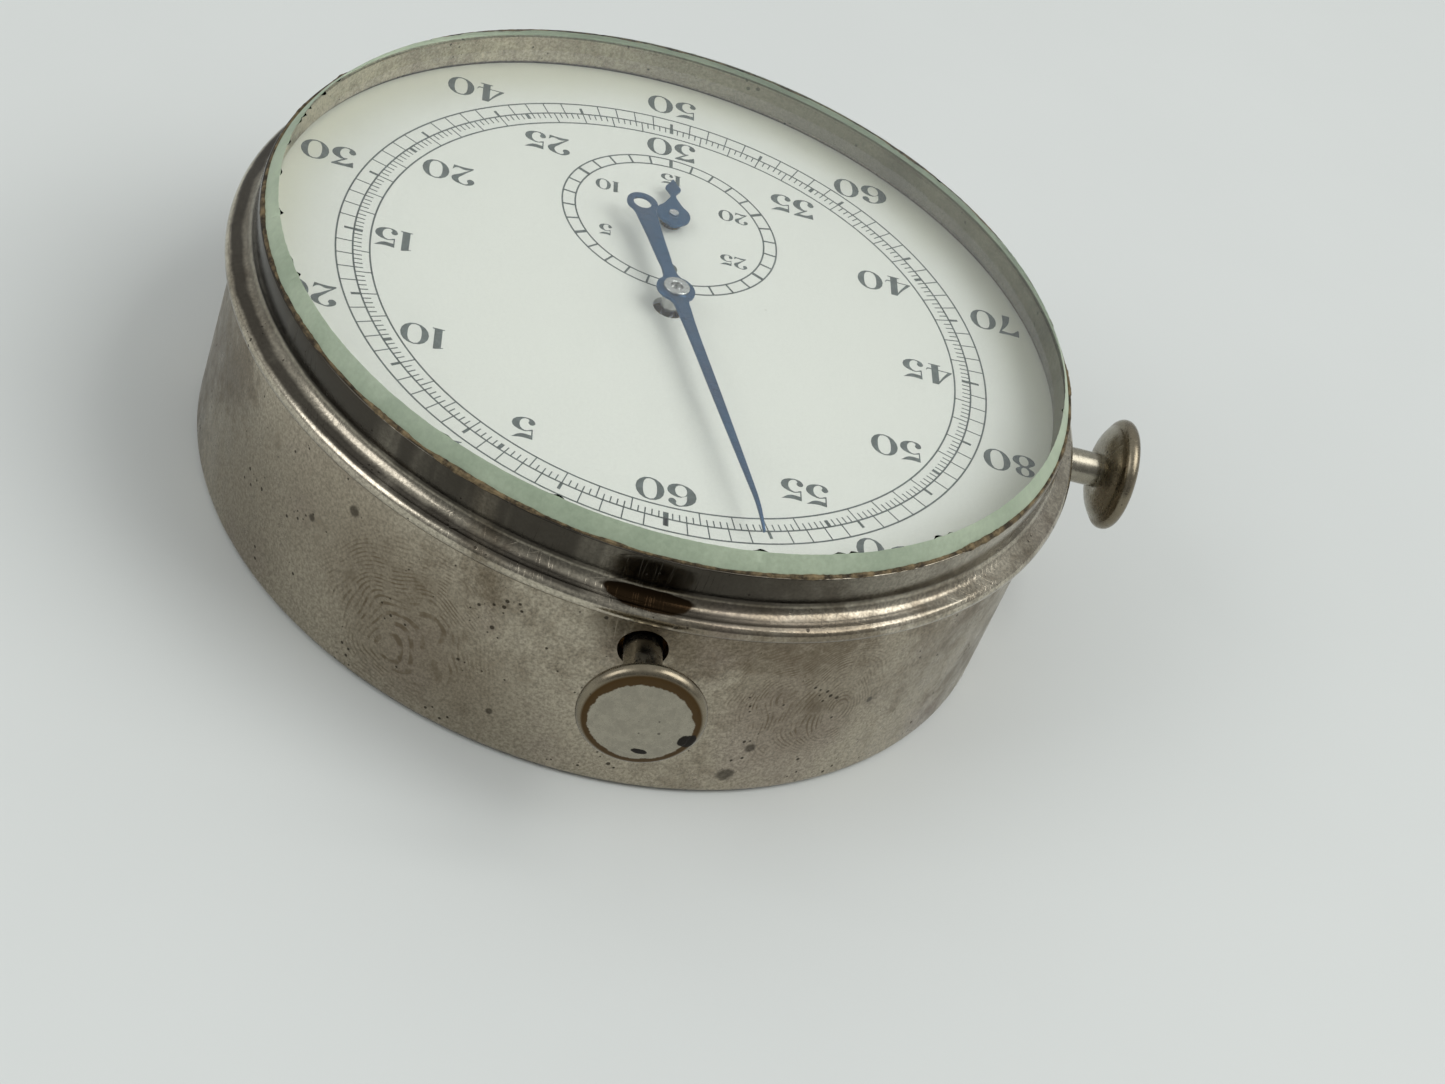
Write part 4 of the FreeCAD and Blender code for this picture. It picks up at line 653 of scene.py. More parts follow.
@dataclass(frozen=True)
class PushNickel(Finish):
    """Polished nickel of a push-piece, worn to brass in a ragged ring round the face."""

    name: str
    centre: Place
    across: Place
    face: float
    plate: Colour = (0.34, 0.312, 0.25)
    stain: Colour = (0.30, 0.26, 0.20)
    brown: Colour = (0.17, 0.135, 0.085)
    brass: Colour = (0.070, 0.038, 0.012)
    dirt: Colour = (0.020, 0.017, 0.014)
    ring_inner: float = 3.2 * MM
    ring_outer: float = 3.55 * MM
    spots: tuple[Mark, ...] = ()

    def draw(self, sheet: Sheet, shader: bpy.types.Node) -> None:
        """Grainy face, brass ring, browned rim and dark spots."""
        place = sheet.place()
        shift = sheet.vector("SUBTRACT", place, self.centre)
        flat = sheet.vector("MULTIPLY", shift, self.across)
        radius = sheet.length(flat)
        tarnish = apply_effect(sheet, "tarnish", place, Scale=190.0, Cover=0.10)
        pits = apply_effect(sheet, "pits", place, Scale=1900.0, Size=0.28)
        scratches = apply_effect(sheet, "scratches", place, Scale=260.0)
        colour = sheet.cover(self.plate, tarnish["Stain"], 0.6, self.stain)
        colour = sheet.mottle(colour, tarnish["Mottle"], (0.84, 1.08))
        colour = sheet.cover(colour, sheet.fade(radius, self.ring_inner, self.ring_outer), 0.65, self.brown)
        worn = self.ring(sheet, place, sheet.axis(flat, "Z"), radius, sheet.length(shift))
        colour = sheet.cover(colour, worn, 0.95, self.brass)
        colour = sheet.cover(colour, pits["Pit"], 0.6, self.dirt)
        for spot in self.spots:
            colour = sheet.blend(spot.mask(sheet, place, 0.7, 1300.0), colour, self.dirt)
        rough = sheet.total((sheet.spread(tarnish["Mottle"], (0.18, 0.34)), 1.0), (worn, 0.16))
        sheet.paint(shader, Base_Color=colour, Metallic=1.0, Roughness=rough)
        height = sheet.total((tarnish["Mottle"], 0.6), (pits["Pit"], -1.0), (worn, -0.8),
                             (scratches["Scratch"], -0.4))
        sheet.bump(shader, height, 0.02 * MM, 0.5)

    def ring(self, sheet: Sheet, place: object, height: object, radius: object, along: object) -> object:
        """Mask of the worn ring round the face, wider at its top.

        Args:
            sheet: the finish's node sheet.
            place: where the ring's ragged edge is measured.
            height: height above the push-piece's axis.
            radius: distance from that axis.
            along: distance from the middle of the case.

        Returns:
            The mask.
        """
        ragged = sheet.sum("SUBTRACT", sheet.noise(place, 1100.0, 5.0, 0.7), 0.5)
        upper = sheet.fade(height, -1.0 * MM, 3.5 * MM, (0.0, 0.28 * MM))
        reach = sheet.sum("MULTIPLY_ADD", ragged, 0.6 * MM, sheet.sum("ADD", radius, upper))
        inner = sheet.fade(reach, self.ring_inner, self.ring_inner + 0.10 * MM)
        outer = sheet.fade(radius, self.ring_outer, self.ring_outer + 0.2 * MM, (1.0, 0.0))
        outward = sheet.fade(along, self.face - 1.05 * MM, self.face - 0.85 * MM)
        return sheet.sum("MULTIPLY", sheet.sum("MULTIPLY", inner, outer), outward)


@dataclass(frozen=True)
class Grime(Finish):
    """Dried brown dirt and verdigris in the groove round the glass."""

    name: str = "grime"
    dark: Colour = (0.022, 0.014, 0.006)
    light: Colour = (0.21, 0.15, 0.07)

    def draw(self, sheet: Sheet, shader: bpy.types.Node) -> None:
        """Crumbly brown in two tones, quite matt."""
        crumbs = sheet.noise(sheet.place(), 1400.0, 6.0, 0.7)
        sheet.paint(shader, Base_Color=sheet.blend(sheet.fade(crumbs, 0.35, 0.7), self.dark, self.light),
                    Roughness=sheet.spread(crumbs, (0.95, 0.7)))
        sheet.bump(shader, crumbs, 0.08 * MM)


@dataclass(frozen=True)
class ClearGlass(Finish):
    """Polished face of the flat glass. It lets lamps through to the dial."""

    name: str = "crystal_glass"
    tint: Colour = (0.975, 0.99, 0.98)
    shadow: Colour = (0.97, 0.985, 0.975)

    def draw(self, sheet: Sheet, shader: bpy.types.Node) -> None:
        """Clear body with faint scratches and haze, and next to no shadow."""
        place = sheet.place()
        scratches = apply_effect(sheet, "scratches", place, Scale=70.0)
        haze = sheet.fade(sheet.noise(place, 45.0, 4.0), 0.5, 0.9, (0.0, 0.02))
        sheet.paint(shader, Base_Color=self.tint, Transmission_Weight=1.0, IOR=1.5,
                    Roughness=sheet.total((haze, 1.0), (scratches["Scratch"], 0.05)))
        path = sheet.add("LightPath")
        clear = sheet.add("BsdfTransparent", self.shadow)
        mix = sheet.add("MixShader", path.outputs["Is Shadow Ray"], shader.outputs[0], clear.outputs[0])
        leave = next(n for n in sheet.tree.nodes if n.type == "OUTPUT_MATERIAL")
        sheet.feed(leave.inputs["Surface"], mix.outputs[0])


@dataclass(frozen=True)
class GroundGlass(Finish):
    """Ground edge of the glass: pale green and matt."""

    name: str = "ground_glass"
    pale: Colour = (0.42, 0.49, 0.36)
    deep: Colour = (0.30, 0.365, 0.26)

    def draw(self, sheet: Sheet, shader: bpy.types.Node) -> None:
        """Milky green that changes a little round the edge."""
        place = sheet.place()
        cloud = sheet.fade(sheet.noise(place, 130.0, 5.0, 0.6), 0.35, 0.7)
        fine = sheet.noise(place, 3200.0, 3.0, 0.6)
        colour = sheet.mottle(sheet.blend(cloud, self.deep, self.pale), fine, (0.93, 1.05))
        sheet.paint(shader, Base_Color=colour, Roughness=sheet.spread(fine, (0.42, 0.62)), IOR=1.5)
        sheet.bump(shader, fine, 0.01 * MM, 0.5)


@dataclass(frozen=True)
class SilveredDial(Finish):
    """Matt silvered dial with a faint yellowing towards its rim and a few specks."""

    name: str = "silvered_dial"
    silver: Colour = (0.60, 0.603, 0.562)
    yellow: Colour = (0.49, 0.49, 0.39)
    speck: Colour = (0.22, 0.20, 0.15)
    rim: float = 25.0 * MM

    def draw(self, sheet: Sheet, shader: bpy.types.Node) -> None:
        """Even silver, a warmer rim, fine powder texture and rare specks."""
        place = sheet.place()
        reach = sheet.sum("MULTIPLY_ADD", sheet.noise(place, 55.0, 4.0), 5.0 * MM, sheet.radius(place))
        aged = sheet.fade(reach, self.rim + 0.5 * MM, self.rim + 5.5 * MM, (0.0, 0.75))
        powder = sheet.noise(place, 5200.0, 3.0, 0.6)
        colour = sheet.mottle(sheet.blend(aged, self.silver, self.yellow), powder, (0.955, 1.02))
        specks = apply_effect(sheet, "pits", place, Scale=420.0, Size=0.085)
        sheet.paint(shader, Base_Color=sheet.cover(colour, specks["Pit"], 0.7, self.speck), Metallic=0.15,
                    Roughness=sheet.spread(powder, (0.42, 0.58)))
        sheet.bump(shader, powder, 0.004 * MM, 0.35)


@dataclass(frozen=True)
class ScaleInk(Finish):
    """Printing ink of the scales, dark grey-green and slightly uneven."""

    name: str = "scale_ink"
    ink: Colour = (0.035, 0.047, 0.043)
    thin: Colour = (0.085, 0.105, 0.10)

    def draw(self, sheet: Sheet, shader: bpy.types.Node) -> None:
        """Dark ink, thinner in places."""
        cover = sheet.noise(sheet.place(), 1800.0, 4.0, 0.6)
        sheet.paint(shader, Base_Color=sheet.blend(sheet.fade(cover, 0.4, 0.7), self.ink, self.thin),
                    Roughness=sheet.spread(cover, (0.45, 0.7)))


@dataclass(frozen=True)
class BluedSteel(Finish):
    """Steel blued by heat, polished on its upper face."""

    name: str = "blued_steel"
    blue: Colour = (0.022, 0.080, 0.165)
    violet: Colour = (0.030, 0.066, 0.135)
    rust: Colour = (0.05, 0.04, 0.03)

    def draw(self, sheet: Sheet, shader: bpy.types.Node) -> None:
        """Blue that drifts a little, with grain and rust specks."""
        place = sheet.place()
        drift = sheet.fade(sheet.noise(place, 160.0, 3.0), 0.35, 0.65)
        specks = apply_effect(sheet, "pits", place, Scale=1500.0, Size=0.25)
        grain = apply_effect(sheet, "grain", place, Scale=500.0)
        colour = sheet.cover(sheet.blend(drift, self.blue, self.violet), specks["Pit"], 0.6, self.rust)
        rough = sheet.spread(grain["Grain"], (0.26, 0.42))
        sheet.paint(shader, Base_Color=colour, Metallic=0.85, Roughness=rough)
        sheet.bump(shader, grain["Grain"], 0.004 * MM, 0.5)


@dataclass(frozen=True)
class PlainMetal(Finish):
    """Metal of the movement: brass, steel or spring steel with its own grain."""

    name: str
    bright: Colour
    dull: Colour
    rough: Point
    grain_scale: float = 300.0

    def draw(self, sheet: Sheet, shader: bpy.types.Node) -> None:
        """Grain, light staining and small marks."""
        place = sheet.place()
        tarnish = apply_effect(sheet, "tarnish", place, Scale=140.0, Cover=0.1)
        grain = apply_effect(sheet, "grain", place, Scale=self.grain_scale)
        colour = sheet.blend(tarnish["Stain"], self.bright, self.dull)
        colour = sheet.mottle(colour, grain["Grain"], (0.86, 1.06))
        rough = sheet.total((sheet.spread(grain["Grain"], self.rough), 1.0), (tarnish["Stain"], 0.12))
        sheet.paint(shader, Base_Color=colour, Metallic=1.0, Roughness=rough)
        sheet.bump(shader, grain["Grain"], 0.005 * MM, 0.5)


@dataclass(frozen=True)
class Ruby(Finish):
    """Synthetic ruby of the bearings and pallet stones."""

    name: str = "ruby"
    red: Colour = (0.50, 0.02, 0.07)
    deep: Colour = (0.33, 0.01, 0.045)

    def draw(self, sheet: Sheet, shader: bpy.types.Node) -> None:
        """Deep red with a slight cloud and a polished coat."""
        cloud = sheet.spread(sheet.noise(sheet.place(), 900.0, 2.0), (0.0, 1.0))
        colour = sheet.blend(cloud, self.red, self.deep)
        sheet.paint(shader, Base_Color=colour, Roughness=0.08, Coat_Weight=0.6)


@dataclass(frozen=True)
class Paper(Finish):
    """Smooth pale surface under the watch."""

    name: str = "pale_floor"
    tone: Colour = (0.63, 0.650, 0.635)

    def draw(self, sheet: Sheet, shader: bpy.types.Node) -> None:
        """Pale grey with the least unevenness."""
        cloud = sheet.noise(sheet.place(), 20.0, 5.0)
        sheet.paint(shader, Base_Color=sheet.mottle(self.tone, cloud, (0.985, 1.01)), Roughness=0.6)


# ---------------------------------------------------------------- case


@dataclass
class DrumCase:
    """Drum with a flat back, and the bezel ring with its bead, cove and lip."""

    foot_round: float = 0.55 * MM
    bead_round: float = 0.65 * MM
    wall: float = 0.95 * MM
    neck_wall: float = 0.65 * MM
    fit: float = 0.05 * MM
    lip: float = 0.2 * MM
    cove_top: float = 17.1 * MM
    hole: float = 1.6 * MM
    dirt_half: float = 0.20 * MM
    dirt_heaps: int = 97
    drum_high: Vector = field(default_factory=lambda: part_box("case_drum")[1])
    bezel_low: Vector = field(default_factory=lambda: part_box("bezel_ring")[0])
    bezel_high: Vector = field(default_factory=lambda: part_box("bezel_ring")[1])
    glass_low: Vector = field(default_factory=lambda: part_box("crystal")[0])
    glass_high: Vector = field(default_factory=lambda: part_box("crystal")[1])
    plate_low: Vector = field(default_factory=lambda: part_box("movement_ring")[0])
    stem_box: tuple[Vector, Vector] = field(default_factory=lambda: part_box("start_pusher_stem"))

    def build(self) -> None:
        """Make the drum, the bezel and the dirt in the groove."""
        self.build_drum()
        self.build_bezel()
        self.build_grime()

    def build_drum(self) -> None:
        """Drum: flat back, rounded foot, straight wall, thinner neck inside the bezel."""
        radius = self.drum_high.x
        back = self.plate_low.z
        neck_top = self.drum_high.z
        shoulder = self.bezel_low.z
        inner = radius - self.wall
        neck = inner + self.neck_wall
        foot = (radius - self.foot_round, self.foot_round)
        edge = 0.08 * MM
        outline = [(0.0, 0.0), (0.3 * radius, 0.0), (0.7 * radius, 0.0)]
        outline += around(foot, self.foot_round, -90.0, 0.0, 8)
        outline += [(radius, 0.3 * shoulder), (radius, 0.7 * shoulder)]
        outline += around((radius - edge, shoulder - edge), edge, 0.0, 90.0, 3)
        outline += [(neck, shoulder), (neck, neck_top), (inner, neck_top), (inner, back), (0.0, back)]
        drum = turned("drum_case", outline)
        middle = (self.stem_box[0].z + self.stem_box[1].z) / 2
        for turn in (0.0, 90.0):
            lay_down()
            bpy.ops.mesh.primitive_cylinder_add(
                vertices=64, radius=self.hole, depth=6.0 * MM, location=(*polar(radius, 90.0 + turn), middle),
                rotation=(math.pi / 2, 0.0, math.radians(turn)))
            tool = bpy.context.object
            freeze(tool)
            drilled(drum, tool)
        smooth(drum)
        dress(drum, self.drum_finish(shoulder).material())
        hand_over(drum, Body.CASE, "worn_nickel", "case_drum")

    def drum_finish(self, shoulder: float) -> WornNickel:
        """Wall with finger marks, brown clouds, a few spots, and soot with painted shadow right under the bead."""
        return WornNickel(
            fingers=self.on_wall((60.0, 7.0, 7.6), (114.0, 9.4, 7.4), (205.0, 8.0, 5.5), (330.0, 6.5, 5.0)),
            clouds=self.on_wall((48.0, 11.0, 7.5), (30.0, 6.0, 8.0), (71.0, 4.0, 5.0), (136.0, 11.5, 7.0),
                                (163.0, 9.0, 8.0), (230.0, 5.0, 8.0)),
            spots=self.on_wall((109.0, 4.4, 0.42), (107.0, 1.9, 0.62), (125.0, 7.4, 0.30), (75.0, 3.2, 0.25),
                               (44.0, 8.8, 0.30), (50.0, 11.9, 0.40), (160.0, 6.0, 0.4), (240.0, 10.0, 0.5),
                               (300.0, 4.0, 0.4)),
            # Soot and painted shadow on the wall right under the bead.
            bands=((shoulder - 0.42 * MM, shoulder + 1.0 * MM, 0.92),))

    def on_wall(self, *places: Place) -> tuple[Mark, ...]:
        """Marks on the drum's wall, each from an angle, and a height and a reach in millimetres."""
        return tuple(Mark((*polar(self.drum_high.x, degrees), height * MM), (reach * MM,) * 3)
                     for degrees, height, reach in places)

    def build_bezel(self) -> None:
        """Bezel ring: round bead, hollow cove, upright wall and the thin lip round the glass."""
        bead_edge = self.bezel_high.x
        low = self.bezel_low.z
        bead = (bead_edge - self.bead_round, low + self.bead_round)
        neck_top = low + 2 * self.bead_round
        glass = self.glass_high.x + self.fit
        lip_edge = glass + self.lip
        top = self.bezel_high.z
        cove_foot = (bead[0] - 0.1 * MM, neck_top + 0.05 * MM)
        cove_middle = (lip_edge + 0.3 * (cove_foot[0] - lip_edge),
                       neck_top + 0.3 * (self.cove_top - neck_top))
        radius = self.drum_high.x
        neck = radius - self.wall + self.neck_wall + self.fit
        seat = radius - self.wall - 0.3 * MM
        lip_round = self.lip / 2
        outline = [(neck, low + 0.03 * MM), (bead[0], low)]
        outline += around(bead, self.bead_round, -84.0, 90.0, 16)
        outline += [cove_foot]
        outline += bow(cove_foot, cove_middle, (lip_edge, self.cove_top), 12)
        outline += [(lip_edge, self.cove_top + 0.3 * MM), (lip_edge + 0.05 * MM, top - 0.45 * MM)]
        outline += around((glass + lip_round, top - lip_round), lip_round, 0.0, 180.0, 8)
        outline += [(glass, self.glass_low.z), (seat, self.glass_low.z), (seat, neck_top + self.fit)]
        outline += [(neck, neck_top + self.fit), (neck, low + 0.03 * MM)]
        bezel = turned("bezel", outline, 360)
        dress(bezel, self.bezel_finish(low, cove_foot, cove_middle, glass).material())
        hand_over(bezel, Body.CASE, "worn_nickel", "bezel_ring")

    def bezel_finish(self, low: float, cove_foot: Point, cove_middle: Point, glass: float) -> WornNickel:
        """Dark rings in the bezel's hollows, painted dark reflection and shade with some soot; painted shade on
        the rougher metal round the glass; and a bare patch in the cove.

        Args:
            low: height of the bezel's underside.
            cove_foot: radius and height of the cove's lower end.
            cove_middle: radius and height of the cove's middle.
            glass: radius of the glass's seat.

        Returns:
            The finish.
        """
        worn_at = (0.9 * MM, (cove_middle[0] + cove_foot[0]) / 2, cove_foot[1] + 0.24 * MM)
        # Painted dark reflections in the cove and on the upright wall, and painted shade under the bead, with some
        # soot.
        bands = ((cove_foot[1] - 0.20 * MM, cove_foot[1] + 0.12 * MM, 0.93),
                 (cove_foot[1] + 0.1 * MM, cove_middle[1] + 0.5 * MM, 0.45),
                 (cove_middle[1] + 0.42 * MM, self.bezel_high.z + 1.0 * MM, 0.97),
                 (low - 1.0 * MM, low + 0.2 * MM, 0.85))
        return WornNickel(
            name="bezel_nickel", plate=(0.52, 0.47, 0.375), rough=(0.12, 0.26), bands=bands,
            worn=(Mark(worn_at, (3.0 * MM, 4.0 * MM, 0.40 * MM)),), clean_inside=glass + 0.1 * MM)

    def build_grime(self) -> None:
        """Crumbly line of dirt between the lip and the ground edge of the glass."""
        middle = (self.glass_high.x + 0.02 * MM, self.bezel_high.z - 0.02 * MM)
        grime = turned("groove_dirt", around(middle, self.dirt_half, -90.0, 270.0, 8), FINE_STEPS)
        lumps = self.lumps()
        for vertex in grime.data.vertices:
            flat = math.hypot(vertex.co.x, vertex.co.y)
            turn = math.atan2(vertex.co.y, vertex.co.x) % math.tau
            at = turn / math.tau * FINE_STEPS
            first = int(at) % FINE_STEPS
            size = lumps[first] * (1 - at % 1) + lumps[(first + 1) % FINE_STEPS] * (at % 1)
            reach = middle[0] + (flat - middle[0]) * size
            height = middle[1] + (vertex.co.z - middle[1]) * size
            vertex.co = (reach * math.cos(turn), reach * math.sin(turn), height)
        dress(grime, Grime().material())
        hand_over(grime, Body.CASE, "worn_nickel")

    def lumps(self) -> list[float]:
        """Thickness of the dirt at each step round the groove: broad heaps with crumbs on them."""
        chance = random.Random(11)
        heaps = [chance.uniform(0.45, 1.25) for _ in range(self.dirt_heaps)]
        lumps = []
        for step in range(FINE_STEPS):
            place = step / FINE_STEPS * self.dirt_heaps
            share = 0.5 - 0.5 * math.cos(math.pi * (place % 1))
            heap = heaps[int(place)] * (1 - share) + heaps[(int(place) + 1) % self.dirt_heaps] * share
            lumps.append(heap * chance.uniform(0.85, 1.15))
        return lumps


@dataclass
class Crystal:
    """Flat glass with a ground, slightly chipped edge that stands proud of the bezel."""

    bevel: float = 0.7 * MM
    ground: float = 1.15 * MM
    lower_edge: float = 0.15 * MM
    bulge: float = 0.05 * MM
    edge_strip: float = 0.06 * MM
    chip_count: int = 26
    low: Vector = field(default_factory=lambda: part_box("crystal")[0])
    high: Vector = field(default_factory=lambda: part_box("crystal")[1])

    def build(self) -> None:
        """Turn the disc, chip its edge and give each face its finish."""
        radius = self.high.x
        top = self.high.z
        low = self.low.z
        edge = (radius - self.bevel, top)
        shoulder = (radius, top - self.ground)
        swell = ((shoulder[0] + edge[0]) / 2 + self.bulge, (shoulder[1] + edge[1]) / 2 + self.bulge)
        outline = [(0.0, low), (0.5 * radius, low), (radius - self.lower_edge, low),
                   (radius, low + self.lower_edge), shoulder, swell, edge,
                   (edge[0] - self.edge_strip, top), (0.5 * radius, top), (0.0, top)]
        glass = turned("glass", outline, FINE_STEPS)
        self.chip(glass, edge)
        dress(glass, ClearGlass().material(), GroundGlass().material())
        for face in glass.data.polygons:
            reach = math.hypot(face.center.x, face.center.y)
            flat = abs(face.normal.z) > 0.999
            face.material_index = 0 if flat and reach < edge[0] else 1
        smooth(glass, math.radians(25.0))
        hand_over(glass, Body.CASE, "crystal_glass", "crystal")

    def chip(self, glass: bpy.types.Object, edge: Point) -> None:
        """Make the upper edge ragged: fine nicks all round and a few wider chips."""
        chance = random.Random(5)
        chips = [(chance.uniform(0.0, math.tau), chance.uniform(0.004, 0.016),
                  chance.uniform(0.1, 0.32) * MM) for _ in range(self.chip_count)]
        for vertex in glass.data.vertices:
            reach = math.hypot(vertex.co.x, vertex.co.y)
            if abs(vertex.co.z - edge[1]) > 0.001 * MM or abs(reach - edge[0]) > 0.02 * MM:
                continue
            turn = math.atan2(vertex.co.y, vertex.co.x)
            bite = chance.uniform(0.0, 0.035) * MM
            for at, width, depth in chips:
                away = abs((turn - at + math.pi) % math.tau - math.pi) / width
                bite = max(bite, depth * (1 - away * away))
            share = (reach - bite) / reach
            vertex.co.x *= share
            vertex.co.y *= share


# ---------------------------------------------------------------- dial print


Glyph = tuple[float, list[list[Knot]]]
Line = tuple[float, float, float, float]


def rounded(places: Sequence[Point]) -> list[Knot]:
    """Places as the round knots of an outline."""
    return [(x, y, Corner.ROUND) for x, y in places]


def oval(x: float, y: float, half_width: float, half_height: float) -> list[Knot]:
    """Four knots of an upright oval."""
    return rounded([(x + half_width, y), (x, y + half_height), (x - half_width, y), (x, y - half_height)])


def knots(outline: str) -> list[Knot]:
    """Read an outline written as pairs of x,y. A pair that ends with ! is a sharp corner."""
    pairs = [(pair.rstrip("!").split(","), pair.endswith("!")) for pair in outline.split()]
    return [(float(x), float(y), Corner.SHARP if sharp else Corner.ROUND) for (x, y), sharp in pairs]


def figures() -> dict[str, Glyph]:
    """Outlines of the figures, one unit high: broad strokes, hairlines and ball ends.

    Returns:
        For each figure, its width and its closed outlines.
    """
    zero = [oval(0.44, 0.5, 0.44, 0.5),
            oval(0.44, 0.5, 0.215, 0.455)]
    one = [knots("0,0! 0,0.03! 0.07,0.05! 0.07,0.9! 0,0.875! 0,0.905! 0.25,1! 0.31,1! 0.31,0.05! "
                 "0.38,0.03! 0.38,0!")]
    two = [knots("0.34,1 0.76,0.73 0.47,0.4 0.17,0.115! 0.36,0.16 0.6,0.1 0.75,0.25! 0.72,0! 0.36,0.03 "
                 "0.07,0! 0.06,0.05! 0.37,0.44 0.53,0.74 0.34,0.955 0.2,0.87 0.245,0.74 0.12,0.63 "
                 "0,0.76 0.12,0.94")]
    three = [knots("0.03,1! 0.7,1! 0.72,0.96! 0.36,0.625! 0.47,0.63 0.74,0.32 0.34,0 0,0.2 0.1,0.33 "
                   "0.22,0.23 0.2,0.1 0.33,0.04 0.49,0.33 0.36,0.575 0.24,0.56! 0.24,0.6! 0.53,0.865! "
                   "0.3,0.87 0.05,0.72!")]
    four = [knots("0.49,1! 0.26,0.62 0,0.28! 0,0.245! 0.46,0.245! 0.46,0.05! 0.38,0.03! 0.38,0! 0.79,0! "
                  "0.79,0.03! 0.7,0.05! 0.7,0.245! 0.84,0.25 0.9,0.42! 0.82,0.3 0.7,0.285! 0.7,1!"),
            knots("0.46,0.285! 0.14,0.285! 0.32,0.57 0.46,0.84!")]
    five = [knots("0.06,0.955! 0.36,0.93 0.7,1! 0.42,0.77 0.105,0.77! 0.105,0.57! 0.36,0.63 0.71,0.33 "
                  "0.3,0 0,0.18 0.1,0.31 0.21,0.22 0.18,0.11 0.3,0.04 0.475,0.33 0.31,0.585 0.1,0.5! "
                  "0.065,0.5!")]
    six = [knots("0.5,1 0,0.48 0.46,0 0.9,0.3 0.58,0.6 0.29,0.47! 0.33,0.8 0.5,0.955 0.63,0.9 0.62,0.8 "
                 "0.74,0.69 0.86,0.81 0.76,0.94"),
           knots("0.66,0.3 0.47,0.55 0.29,0.3 0.47,0.045")]
    seven = [knots("0.03,1! 0.35,0.98 0.71,1! 0.71,0.95! 0.56,0.45 0.55,0! 0.29,0! 0.36,0.4 0.62,0.84! "
                   "0.28,0.86 0.06,0.66! 0.02,0.66!")]
    eight = [knots("0.37,1 0.06,0.76 0.24,0.545! 0,0.26 0.37,0 0.74,0.26 0.5,0.545! 0.68,0.76"),
             oval(0.37, 0.77, 0.13, 0.19),
             oval(0.37, 0.27, 0.155, 0.23)]
    nine = [[(0.9 - x, 1.0 - y, corner) for x, y, corner in outline] for outline in six]
    return {"0": (0.88, zero), "1": (0.38, one), "2": (0.76, two), "3": (0.74, three), "4": (0.9, four),
            "5": (0.71, five), "6": (0.9, six), "7": (0.71, seven), "8": (0.74, eight), "9": (0.9, nine)}


